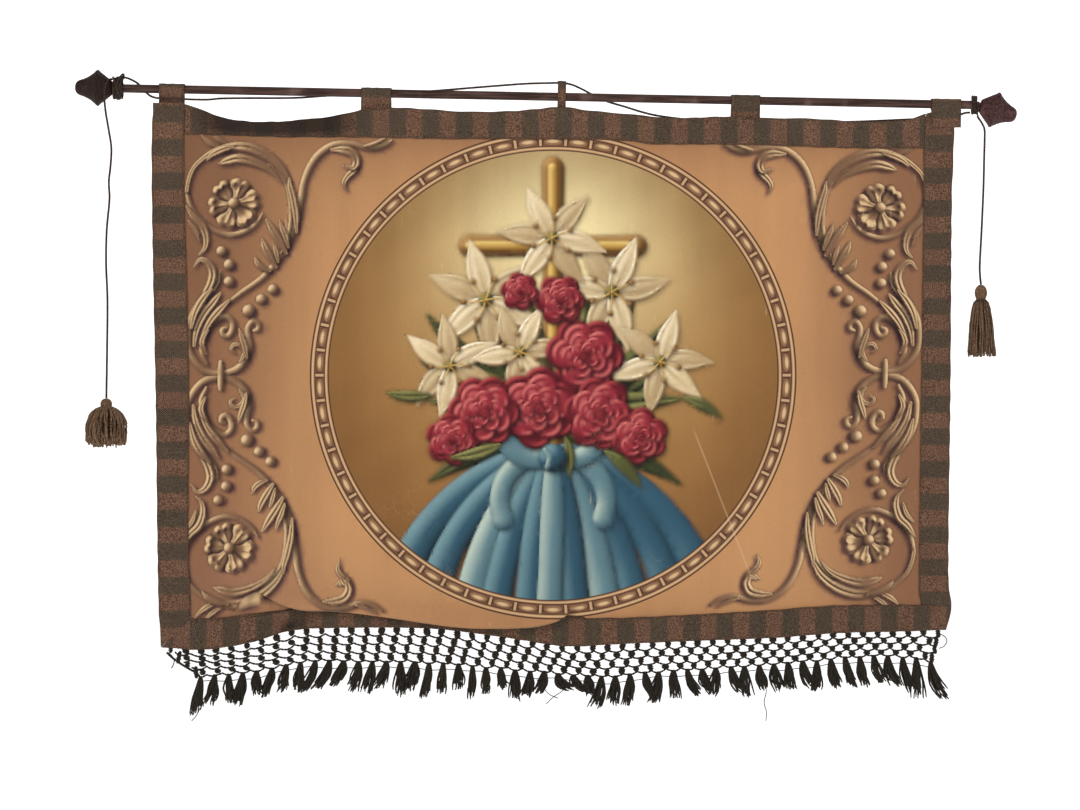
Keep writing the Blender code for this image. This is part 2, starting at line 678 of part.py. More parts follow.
def net_place(flat):
    """Where a point of the flat net hangs under the foot band, in metres."""
    across = flat.x / (NET_MESHES * NET_PITCH)
    down = -flat.z / (NET_ROWS * NET_ROW_DROP)
    top_x = NET_TOP_SPAN[0] + (NET_TOP_SPAN[1] - NET_TOP_SPAN[0]) * across
    foot_x = NET_FOOT_SPAN[0] + (NET_FOOT_SPAN[1] - NET_FOOT_SPAN[0]) * across
    x = top_x + (foot_x - top_x) * down
    top_z = between(LEVEL_LINES, NET_HEAD_ROW, top_x)
    z = top_z + (along(NET_FOOT, foot_x) - top_z) * down
    y = flat.y + NET_LIFT + waves(x, 3.0, WAVE_START)
    return Vector((x, y, z)) * MM


def make_net():
    """The knotted net, one solid with its locks of yarn."""
    bm = brick_bond()
    frame, rim = open_meshes(bm)
    places = thicken_net(bm, frame, rim)
    roots = [min(bm.verts, key=lambda vert: (vert.co - place).length) for place in places]
    for vert in bm.verts:
        vert.co = net_place(vert.co)
    hang_locks(bm, roots)
    mesh_object("net_fringe", bm, net_yarn)


def hang_locks(bm, roots):
    """A lock of yarn, four sided and open to its neighbours, from each root at the net's foot."""
    chance = random.Random(LOCK_SEED)
    leans = [(x, lean) for x, lean, _ in LOCK_TIPS]
    drops = [(x, drop) for x, _, drop in LOCK_TIPS]
    for root in sorted(roots, key=lambda vert: vert.co.x):
        start = root.co.copy()
        x = start.x / MM
        tip = Vector(
            (
                along(leans, x) + chance.uniform(-LOCK_SCATTER, LOCK_SCATTER),
                chance.uniform(-LOCK_SCATTER, LOCK_SCATTER) / 2,
                -along(drops, x) + chance.uniform(-LOCK_SCATTER, LOCK_SCATTER),
            )
        )
        cut = bmesh.ops.bevel(
            bm, geom=[root], offset=LOCK_ROOT * MM, offset_type="OFFSET",
            segments=1, profile=0.5, affect="VERTICES",
        )
        fresh = set(cut["verts"])
        face = next(f for f in cut["faces"] if fresh.issuperset(f.verts))
        for share, half in LOCK_SECTIONS:
            face = bmesh.ops.extrude_discrete_faces(bm, faces=[face])["faces"][0]
            centre = start + tip * share * MM
            centre.x -= tip.x * share * (1 - share) * LOCK_BEND * MM
            middle = face.calc_center_median()
            for vert in face.verts:
                offset = vert.co - middle
                if abs(offset.x) > abs(offset.y):
                    vert.co = centre + Vector((math.copysign(half, offset.x) * MM, 0, 0))
                else:
                    vert.co = centre + Vector((0, math.copysign(half, offset.y) * MM, 0))


for old in list(bpy.data.objects):
    bpy.data.objects.remove(old, do_unlink=True)

banner = bpy.data.collections.new("Church banner with hanging rod")
bpy.context.scene.collection.children.link(banner)

wood = material("rod wood", (0.070, 0.046, 0.044), 0.45)
dark_wood = material("left finial wood", (0.045, 0.032, 0.030), 0.5)
red_wood = material("right finial wood", (0.070, 0.036, 0.034), 0.5)
print_cloth = material("printed cloth", (0.44, 0.24, 0.11), 0.85)
galloon = material("galloon", (0.10, 0.065, 0.042), 0.9)
net_yarn = material("net yarn", (0.030, 0.024, 0.016), 0.95)
cord_yarn = material("cord yarn", (0.050, 0.038, 0.030), 0.9)
tassel_yarn = material("tassel yarn", (0.10, 0.070, 0.042), 0.95)

rod_line = bpy.data.objects.new("rod_line", None)
rod_line.rotation_euler = (0, ROD_SLOPE, 0)
banner.objects.link(rod_line)

make_rod(rod_line)
make_finials(rod_line)
make_wraps(rod_line)
make_tabs(rod_line)
make_panel()
make_bands()
make_net()
make_cords()
make_tassels()
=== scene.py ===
"""The look of a church banner hung from its wooden rod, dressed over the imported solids.

Tables are in millimetres in the part's own frame, as in its source. The print's design is in print units
of 1.45 mm, across and down. Everything seeded gives the same result each run.
"""

import math
import random

import bmesh
import bpy
import numpy as np
from mathutils import Matrix, Vector


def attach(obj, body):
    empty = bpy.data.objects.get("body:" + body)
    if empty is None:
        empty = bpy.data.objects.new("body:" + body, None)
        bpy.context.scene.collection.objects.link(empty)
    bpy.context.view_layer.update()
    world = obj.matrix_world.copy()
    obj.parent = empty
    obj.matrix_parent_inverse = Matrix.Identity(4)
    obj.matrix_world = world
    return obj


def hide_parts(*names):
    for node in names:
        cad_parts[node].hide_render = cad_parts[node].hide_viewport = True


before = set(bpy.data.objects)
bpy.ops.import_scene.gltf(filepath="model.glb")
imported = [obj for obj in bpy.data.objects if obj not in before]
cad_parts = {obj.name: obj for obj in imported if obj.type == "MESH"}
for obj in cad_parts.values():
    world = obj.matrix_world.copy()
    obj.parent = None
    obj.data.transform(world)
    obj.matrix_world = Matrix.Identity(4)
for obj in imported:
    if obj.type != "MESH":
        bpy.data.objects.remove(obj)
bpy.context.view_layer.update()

MM = 0.001
GOLDEN_ANGLE = 2.39996
UNIT = 1.45
UNIT_X = 545.0
UNIT_Y = 96.6

ROD_RADIUS = 6.25
ROD_LEFT = -619.5
ROD_RIGHT = 620.5
ROD_SLOPE = math.radians(1.12)
PANEL_THICK = 1.2
BAND_THICK = 1.5
TAPE_THICK = 1.2
SEAM_GAP = 0.45
TAIL_GAP = 0.4
LOOP_GAP = 0.5
BAND_WIDTH = 45.0
BAND_LIFT = PANEL_THICK / 2 + SEAM_GAP + BAND_THICK / 2
TAIL_BEHIND = PANEL_THICK / 2 + TAIL_GAP + BAND_THICK / 2
TAIL_BEFORE = -(BAND_LIFT + BAND_THICK + TAIL_GAP)

# The cloth's edges seen from the front: (x, z) along a row of sewing, or (z, x) down a side
TOP_EDGE = (
    (-568, -9), (-522, -11), (-490, -22), (-462, -32), (-412, -38), (-368, -36),
    (-329, -32), (-290, -25), (-264, -19), (-222, -16), (-161, -19), (-115, -22),
    (-49, -21), (-12, -18), (25, -15), (62, -20), (117, -25), (186, -31), (264, -29),
    (312, -31), (386, -32), (457, -36), (521, -34), (560, -23), (594, -22),
)
PRINT_TOP = (
    (-570, -53), (-522, -55), (-442, -56), (-342, -58), (-238, -60), (-135, -62),
    (25, -62), (117, -64), (154, -69), (264, -70), (457, -75), (548, -75), (592, -76),
)
PRINT_FOOT = (
    (-560, -755), (-473, -756), (-423, -750), (-370, -744), (-312, -736), (-210, -731),
    (-109, -736), (-7, -746), (71, -757), (193, -752), (312, -745), (422, -738), (589, -737),
)
BAND_FOOT = (
    (-556, -798), (-499, -802), (-462, -798), (-425, -791), (-388, -779), (-370, -773),
    (-283, -770), (-167, -771), (-94, -779), (-33, -788), (29, -797), (103, -794),
    (215, -789), (341, -784), (422, -778), (534, -775), (581, -773),
)
LEFT_EDGE = ((-798, -556), (-730, -560), (-440, -564), (-251, -568), (-77, -570), (-7, -568))
PRINT_LEFT = ((-755, -512), (-730, -513), (-628, -516), (-440, -515), (-266, -518), (-150, -522), (-11, -522))
PRINT_RIGHT = ((-737, 545), (-715, 542), (-440, 545), (-193, 548), (-77, 549), (-22, 552))
RIGHT_EDGE = ((-775, 581), (-742, 589), (-701, 585), (-440, 588), (-148, 590), (-92, 592), (-22, 594))
NET_FOOT = (
    (-500, -840), (-425, -833), (-351, -819), (-283, -818), (-155, -820), (-74, -827),
    (-7, -833), (88, -840), (148, -834), (260, -826), (341, -821), (460, -811), (534, -813), (560, -820),
)
SIDE_LINES = (LEFT_EDGE, PRINT_LEFT, PRINT_RIGHT, RIGHT_EDGE)
LEVEL_LINES = (TOP_EDGE, PRINT_TOP, PRINT_FOOT, BAND_FOOT)

# The print's slack hangs over the foot band in one fold: (x, z) of its lip, (x, strength) of the fold
FOLD_LIP = (
    (-465, -699), (-434, -714), (-398, -730), (-361, -739), (-323, -743), (-248, -751),
    (-175, -762), (-125, -768), (-84, -769), (-33, -763), (22, -760), (60, -759), (80, -758),
)
FOLD_STRENGTH = ((-465, 0.0), (-385, 1.0), (-300, 1.0), (-100, 1.0), (15, 1.0), (75, 0.0))
FOLD_BULGE = 18.0
FOLD_START = 1.84
# Down the fold: (share of its length, depth in bulges, what the height is measured from, height above it)
FOLD_PROFILE = (
    (0.25, 0.45, "lip", 45), (0.45, 0.95, "lip", 14), (0.52, 1.00, "lip", 4), (0.58, 0.85, "lip", 0),
    (0.64, 0.62, "lip", 3), (0.85, 0.36, "root", 1), (0.91, 0.20, "root", 6), (0.96, 0.03, "root", 3),
)
FOLD_ROOM = 14.0
LEAN_FROM = -514
LEAN_TO = -270
LEAN_AT_SEAM = 4.0
LEAN_AT_TOP = 28.0
LEAN_FADE = 40.0
LONG_WAVE = (3.0, 430.0, 0.6)
SHORT_WAVE = (1.5, 230.0, 2.0)
SHORT_WAVE_TURN = 2
WAVE_START = 60.0
PRINT_HEIGHT = 680
MIDDLE_HEIGHT = -400.0
CROSSING_PASSES = 4
EDGE_TUCK = 0.08
FOOT_TUCK = 2.8
BUTT_GAP = 0.01

# Tabs: name, middle x, width, how far the loop stands above the rod, how far below the axis its legs meet
# and its tail ends, the tail's depth behind the panel's middle, and the cloth's thickness
TABS = (
    ("tab_far_left", -541.0, 37.5, 0.0, 15.5, 34.0, TAIL_BEHIND, BAND_THICK),
    ("tab_left", -244.5, 44.5, 0.0, 16.0, 37.0, TAIL_BEHIND, BAND_THICK),
    ("loop_centre", 24.3, 12.3, 15.3, 11.0, 28.0, TAIL_BEHIND, TAPE_THICK),
    ("tab_right", 291.0, 42.8, 0.0, 16.0, 38.0, TAIL_BEHIND, BAND_THICK),
    ("tab_far_right", 581.5, 43.5, 0.0, 9.8, 33.5, TAIL_BEFORE, BAND_THICK),
)

FINIAL_LEFT_NECK = -626.7
FINIAL_RIGHT_NECK = (630.9, -12.9)
FINIAL_RIGHT_DROOP = math.radians(16.5)

# Routes of the cords, points given one by one: (x, y, z)
HANGING_CORD = (
    (-610.6, -3, 27.3), (-606, -3, 26.8), (-596, 1, 22.6), (-589.6, 7, 18.2), (-583, 10, 10.5),
    (-574, 5.6, 2.4), (-564, -3, -2), (-553, -5, -3.2), (-532, -5, -3.6), (-510, -4.4, -4.6),
    (-487, -3, -4.6), (-471, -2, -3), (-428, 0, -2.2), (-390, 2.4, -2), (-355, 5.2, -1), (-318, 8.6, 2),
    (-283, 10.6, 4), (-245, 11, 5), (-212, 10.4, 6), (-187, 9, 7.5), (-150, 6.4, 9.8), (-119, 3, 12),
    (-65, 0, 16), (-25, 0, 18.8), (5, 0, 19.6), (25, 0, 19.8), (38, 1, 17.6), (52, 3.8, 12), (63, 7.2, 6.6),
    (74, 9.4, 0.6), (86, 9, -4.6), (100, 7, -9.4), (117, 5.6, -14.4), (136, 5.8, -20.4), (158, 6.2, -26),
    (196, 6, -31.5), (240, 6, -35), (291, 6, -37), (345, 6, -37.6), (399, 6, -37), (460, 6.4, -35.4),
    (515, 7.4, -33), (560, 9, -30.6), (590, 9.4, -28), (602, 7, -25.6), (611, 2.4, -23.2),
    (616.6, 2, -23.1),
)
TASSEL_CORD_LEFT = (
    (-627.9, -1, 24.9), (-629.2, -4.4, 24.7), (-631.7, -10, 22.4), (-634.7, -16.2, 15.2),
    (-636.8, -16.8, 6.4), (-637.4, -13.4, -0.8), (-637.2, -9.8, -9), (-636, -6, -24),
    (-632, -4, -49), (-628.4, -3, -74), (-629.4, -3, -99), (-632, -3, -124), (-631, -3, -148),
    (-635, -3, -193), (-636, -3, -240), (-634, -3, -295), (-634.6, -3, -370), (-635.6, -3, -437.4),
)
TASSEL_CORD_RIGHT = (
    (626.6, -1, -27.2), (628.6, -1, -31.5), (633, -1, -38), (637, -1, -47), (637.4, -1, -60),
    (636.6, -1, -90), (636, -1, -120), (635, -1, -148), (632.6, -1, -200), (630.2, -1, -245),
    (630.6, -1, -259), (632, -1, -272.7),
)

# The knotted net: hexagonal meshes in a brick bond, and (x, sideways lean, drop) of a lock's tip
NET_MESHES = 51
NET_ROWS = 4
NET_ZIGZAG = 1.6
NET_LIFT = 0.5
NET_TOP_SPAN = (-548, 572)
NET_FOOT_SPAN = (-500, 560)
NET_HEAD_ROW = 2.97
LOCK_TIPS = (
    (-500, -19, 58), (-470, -14, 46), (-400, -12, 44), (-300, -10, 42), (-150, -5, 44),
    (0, -1, 38), (120, 3, 44), (260, 7, 40), (400, 9, 44), (520, 7, 48), (560, 7, 60),
)


# The hanging surface, as in the part's source, for whole arrays of places


def hermite(t, low, high, bend_in, bend_out):
    """The value at share t of the way from low to high, on a smooth curve with a slope at each end."""
    return (
        (2 * t**3 - 3 * t**2 + 1) * low
        + (t**3 - 2 * t**2 + t) * bend_in
        + (3 * t**2 - 2 * t**3) * high
        + (t**3 - t**2) * bend_out
    )


def along(table, place):
    """The value of a two-column table at each place, on a smooth curve through its rows."""
    at = np.array([row[0] for row in table], float)
    value = np.array([row[1] for row in table], float)
    last = len(at) - 1
    before = np.maximum(np.arange(len(at)) - 1, 0)
    after = np.minimum(np.arange(len(at)) + 1, last)
    slope = (value[after] - value[before]) / (at[after] - at[before])
    place = np.asarray(place, float)
    i = np.clip(np.searchsorted(at, place, side="right") - 1, 0, last - 1)
    span = at[i + 1] - at[i]
    t = np.clip((place - at[i]) / span, 0, 1)
    return hermite(t, value[i], value[i + 1], slope[i] * span, slope[i + 1] * span)


def along_columns(at, values, place):
    """As along(), where each place has its own column of values."""
    last = len(at) - 1
    before = np.maximum(np.arange(len(at)) - 1, 0)
    after = np.minimum(np.arange(len(at)) + 1, last)
    slope = (values[after] - values[before]) / (at[after] - at[before])[:, None]
    i = np.clip(np.searchsorted(at, place, side="right") - 1, 0, last - 1)
    each = np.arange(len(place))
    span = at[i + 1] - at[i]
    t = np.clip((place - at[i]) / span, 0, 1)
    return hermite(t, values[i, each], values[i + 1, each], slope[i, each] * span, slope[i + 1, each] * span)


def ease(t):
    """0 below 0, 1 above 1, and a smooth rise between."""
    t = np.clip(t, 0.0, 1.0)
    return t * t * (3 - 2 * t)


def between(lines, at, place):
    """Values read between four lines: at is 0 on the first of them and 3 on the last."""
    values = np.stack([along(line, place) for line in lines])
    at = np.broadcast_to(np.asarray(at, float), values.shape[1:])
    i = np.clip(np.floor(at).astype(int), 0, 2)
    near = np.take_along_axis(values, i[None], 0)[0]
    far = np.take_along_axis(values, i[None] + 1, 0)[0]
    return near + (far - near) * (at - i)


def face_place(u, v):
    """Where points of the sheet are seen from the front. 0 is an outer edge, 1 and 2 the print's edges."""
    z = np.full(np.shape(u), MIDDLE_HEIGHT)
    x = z
    for _ in range(CROSSING_PASSES):
        x = between(SIDE_LINES, u, z)
        z = between(LEVEL_LINES, v, x)
    return x, z


def waves(x, v, below_top):
    """The cloth's waves, less the lean of its top edge, in millimetres towards the back."""
    long_size, long_length, long_start = LONG_WAVE
    short_size, short_length, short_start = SHORT_WAVE
    middle = np.sin(np.pi * np.clip(v - 1, 0, 1))
    depth = long_size * np.sin(math.tau * x / long_length + long_start)
    turn = math.tau * x / short_length + short_start + SHORT_WAVE_TURN * v
    depth = depth + short_size * middle * np.sin(turn)
    depth = depth * ease(below_top / WAVE_START)
    inside = (x > LEAN_FROM) & (x < LEAN_TO)
    swing = np.where(inside, np.sin(np.pi * (x - LEAN_FROM) / (LEAN_TO - LEAN_FROM)) ** 2, 0)
    fade = np.exp(-np.maximum(v - 1, 0) * PRINT_HEIGHT / LEAN_FADE)
    above_seam = np.maximum(1 - v, 0)
    return depth - swing * (LEAN_AT_SEAM * fade + (LEAN_AT_TOP - LEAN_AT_SEAM) * above_seam)


def sheet_points(u, v):
    """Points of the hanging sheet's middle, in millimetres, for arrays of u and v of one shape."""
    shape = np.shape(u)
    u = np.ravel(np.asarray(u, float))
    v = np.ravel(np.asarray(v, float))
    x, z = face_place(u, v)
    y = waves(x, v, along(TOP_EDGE, x) - z)
    strength = along(FOLD_STRENGTH, x)
    folded = np.flatnonzero((v > FOLD_START) & (v < 2) & (strength > 0))
    if len(folded):
        fx, fv = x[folded], v[folded]
        foot = along(PRINT_FOOT, fx)
        start = between(LEVEL_LINES, np.full(fx.shape, FOLD_START), fx)
        lip = along(FOLD_LIP, fx)
        root = np.maximum(foot, lip + FOLD_ROOM)
        share = (fv - FOLD_START) / (2 - FOLD_START)
        at = np.array([0.0, *(row[0] for row in FOLD_PROFILE), 1.0])
        heights = [start]
        heights += [(lip if kind == "lip" else root) + up for _, _, kind, up in FOLD_PROFILE]
        heights.append(foot)
        flat = np.zeros(len(folded))
        depths = [flat, *(flat + row[1] for row in FOLD_PROFILE), flat]
        drop = along_columns(at, np.array(heights), share)
        z[folded] += (drop - z[folded]) * strength[folded]
        y[folded] -= FOLD_BULGE * strength[folded] * along_columns(at, np.array(depths), share)
    return np.stack([x, y, z], -1).reshape(*shape, 3)


def lattice_normals(points):
    """Unit normals towards the front of a lattice of points whose rows run down and columns run right."""
    across = np.gradient(points, axis=1)
    down = np.gradient(points, axis=0)
    normals = np.cross(down, across)
    normals /= np.maximum(np.linalg.norm(normals, axis=-1, keepdims=True), 1e-9)
    return np.where(normals[..., 1:2] > 0, -normals, normals)


def creases(x, z):
    """Small soft creases of a cloth that was kept rolled, in millimetres towards the front."""
    depth = 0.35 * np.sin(x / 23.0 + 0.8 * np.sin(z / 61.0))
    depth += 0.3 * np.sin(x / 9.5 + 1.7 * np.sin(z / 90.0) + 1.1) * np.sin(z / 140.0 + x / 310.0)
    return depth + 0.25 * np.sin(z / 17.0 + 1.3 * np.sin(x / 75.0)) * np.sin(x / 120.0 + 0.4)


# The painting of the print: strokes with a modelled height, lit from one side, on a numpy surface


def linear(colour):
    """Linear colour from one written as red, green and blue of 255."""
    share = np.asarray(colour, float) / 255
    return np.where(share <= 0.04045, share / 12.92, ((share + 0.055) / 1.055) ** 2.4)


def even_line(points, gap):
    """Even rows of (x, y, half width) on a smooth curve through a stroke's own points."""
    knots = np.array(points, float)
    ends = np.vstack([2 * knots[0] - knots[1], knots, 2 * knots[-1] - knots[-2]])
    bends = (ends[2:] - ends[:-2]) / 2
    t = np.linspace(0, 1, 12, endpoint=False)[:, None]
    fine = [
        hermite(t, knots[i], knots[i + 1], bends[i], bends[i + 1])
        for i in range(len(knots) - 1)
    ]
    fine = np.vstack([*fine, knots[-1:]])
    reach = np.concatenate([[0], np.cumsum(np.hypot(*np.diff(fine[:, :2], axis=0).T))])
    count = max(int(reach[-1] / gap), 2)
    at = np.linspace(0, reach[-1], count + 1)
    return np.stack([np.interp(at, reach, fine[:, k]) for k in range(3)], -1)


def soften(area, passes):
    """A mask blurred by small steps."""
    for _ in range(passes):
        for axis in (0, 1):
            rim = np.concatenate([area.take([0], axis), area, area.take([-1], axis)], axis)
            size = area.shape[axis]
            first = rim.take(range(size), axis)
            last = rim.take(range(2, size + 2), axis)
            area = (first + 2 * area + last) / 4
    return area


def tube(q):
    """Height across a round stroke."""
    return np.sqrt(np.clip(1 - q * q, 0, 1)) * 0.85


def leaf(q):
    """Height across a leaf with a vein along its middle."""
    return np.sqrt(np.clip(1 - q * q, 0, 1)) * 0.75 - 0.42 * np.exp(-((q / 0.26) ** 2))


def petal(q):
    """Height across a petal with a raised line along each side."""
    return np.clip(1 - q * q, 0, 1) * 0.35 + 0.22 * np.exp(-(((q - 0.8) / 0.16) ** 2))


def cloth(q):
    """Height across a fold of cloth."""
    return np.sqrt(np.clip(1 - q * q, 0, 1)) * 0.6


def shifted(field, down, right):
    """A field moved by whole cells, empty where nothing moves in."""
    made = np.zeros_like(field)
    rows, columns = field.shape
    into = (slice(max(down, 0), rows + min(down, 0)), slice(max(right, 0), columns + min(right, 0)))
    out_of = (slice(max(-down, 0), rows - max(down, 0)), slice(max(-right, 0), columns - max(right, 0)))
    made[into] = field[out_of]
    return made


OUTLINE_PASSES = 4
OUTLINE_GAIN = 2.4
SHADOW_PASSES = 4
SHADOW_THROW = 4.8
SHADOW_ROOM = 7.0
LIT_GAIN = 1.25
DARK_GAIN = 1.3


class Canvas:
    """A rectangle of print units with colour laid on it, what it covers, and the shade it throws."""

    def __init__(self, left, top, right, bottom, step, light):
        self.left, self.top, self.step = left, top, step
        self.size = (int((bottom - top) / step) + 1, int((right - left) / step) + 1)
        self.rgb = np.zeros((*self.size, 3))
        self.cover = np.zeros(self.size)
        self.shade = np.ones(self.size)
        self.light = np.array(light) / np.linalg.norm(light)

    def window(self, low_x, low_y, high_x, high_y):
        """The cells within a box of print units, and the places of their columns and rows."""
        c0 = max(int((low_x - self.left) / self.step), 0)
        r0 = max(int((low_y - self.top) / self.step), 0)
        c1 = min(int((high_x - self.left) / self.step) + 2, self.size[1])
        r1 = min(int((high_y - self.top) / self.step) + 2, self.size[0])
        xs = self.left + np.arange(c0, max(c1, c0)) * self.step
        ys = self.top + np.arange(r0, max(r1, r0)) * self.step
        return (slice(r0, r1), slice(c0, c1)), xs, ys

    def lay(self, place, height, solid, look, shadow=0.66, outline=0.78):
        """Shadow, outline and lit body of one shape. look is its dark, middle and light colour."""
        dark, base, light = (linear(colour) for colour in look)
        away = (
            int(round(-self.light[1] * SHADOW_THROW / self.step)),
            int(round(-self.light[0] * SHADOW_THROW / self.step)),
        )
        cast = soften(shifted(solid, *away), SHADOW_PASSES) * shadow
        ring = soften(solid, OUTLINE_PASSES)
        ring = np.clip(ring * OUTLINE_GAIN, 0, 1) * (1 - solid) * outline
        under = (1 - cast) * (1 - ring)
        self.rgb[place] *= under[..., None]
        self.shade[place] *= under
        gy, gx = np.gradient(height, self.step)
        lx, ly, lz = self.light
        tone = (lz - gx * lx - gy * ly) / np.sqrt(gx * gx + gy * gy + 1) - lz
        up = np.clip(LIT_GAIN * tone / (1 - lz), 0, 1)[..., None]
        down = np.clip(-DARK_GAIN * tone / (lz + 0.35), 0, 1)[..., None]
        body = base + (light - base) * up + (dark - base) * down
        cover = solid[..., None]
        self.rgb[place] = self.rgb[place] * (1 - cover) + body * cover
        self.cover[place] = self.cover[place] * (1 - solid) + solid

    def stroke(self, points, look, ridge=tube, **how):
        """A stroke through (x, y, half width). ridge gives its height from middle (0) to edge (1)."""
        line = even_line(points, self.step)
        room = line[:, 2].max() + SHADOW_ROOM
        place, xs, ys = self.window(*(line[:, :2].min(0) - room), *(line[:, :2].max(0) + room))
        if len(xs) < 3 or len(ys) < 3:
            return
        q = np.full((len(ys), len(xs)), 9.0)
        near = np.ones_like(q)
        for x, y, radius in line:
            radius = max(radius, 0.3)
            edge = radius * 1.3 + 1
            a = max(int((x - edge - xs[0]) / self.step), 0)
            b = int((x + edge - xs[0]) / self.step) + 2
            c = max(int((y - edge - ys[0]) / self.step), 0)
            d = int((y + edge - ys[0]) / self.step) + 2
            away = np.hypot(xs[None, a:b] - x, ys[c:d, None] - y) / radius
            part = q[c:d, a:b]
            closer = away < part
            part[closer] = away[closer]
            near[c:d, a:b][closer] = radius
        solid = np.clip((1 - q) * near / self.step + 0.5, 0, 1)
        self.lay(place, ridge(q) * near, solid, look, **how)

    def ball(self, x, y, radius, look, **how):
        """A round boss."""
        self.stroke(((x, y, radius), (x + 0.2, y, radius), (x + 0.4, y, radius)), look, tube, **how)

    def sample(self, x, y):
        """Colour, cover and shade at arrays of places."""
        fx = np.clip((x - self.left) / self.step, 0, self.size[1] - 1.001)
        fy = np.clip((y - self.top) / self.step, 0, self.size[0] - 1.001)
        i, j = fx.astype(int), fy.astype(int)
        tx, ty = fx - i, fy - j
        out = []
        for layer in (self.rgb, self.cover, self.shade):
            wx, wy = (tx, ty) if layer.ndim == 2 else (tx[..., None], ty[..., None])
            top = layer[j, i] * (1 - wx) + layer[j, i + 1] * wx
            low = layer[j + 1, i] * (1 - wx) + layer[j + 1, i + 1] * wx
            out.append(top * (1 - wy) + low * wy)
        return out


ORNAMENT = ((46, 29, 28), (130, 97, 71), (218, 184, 138))
BEAD = ((46, 30, 28), (126, 92, 67), (220, 188, 144))

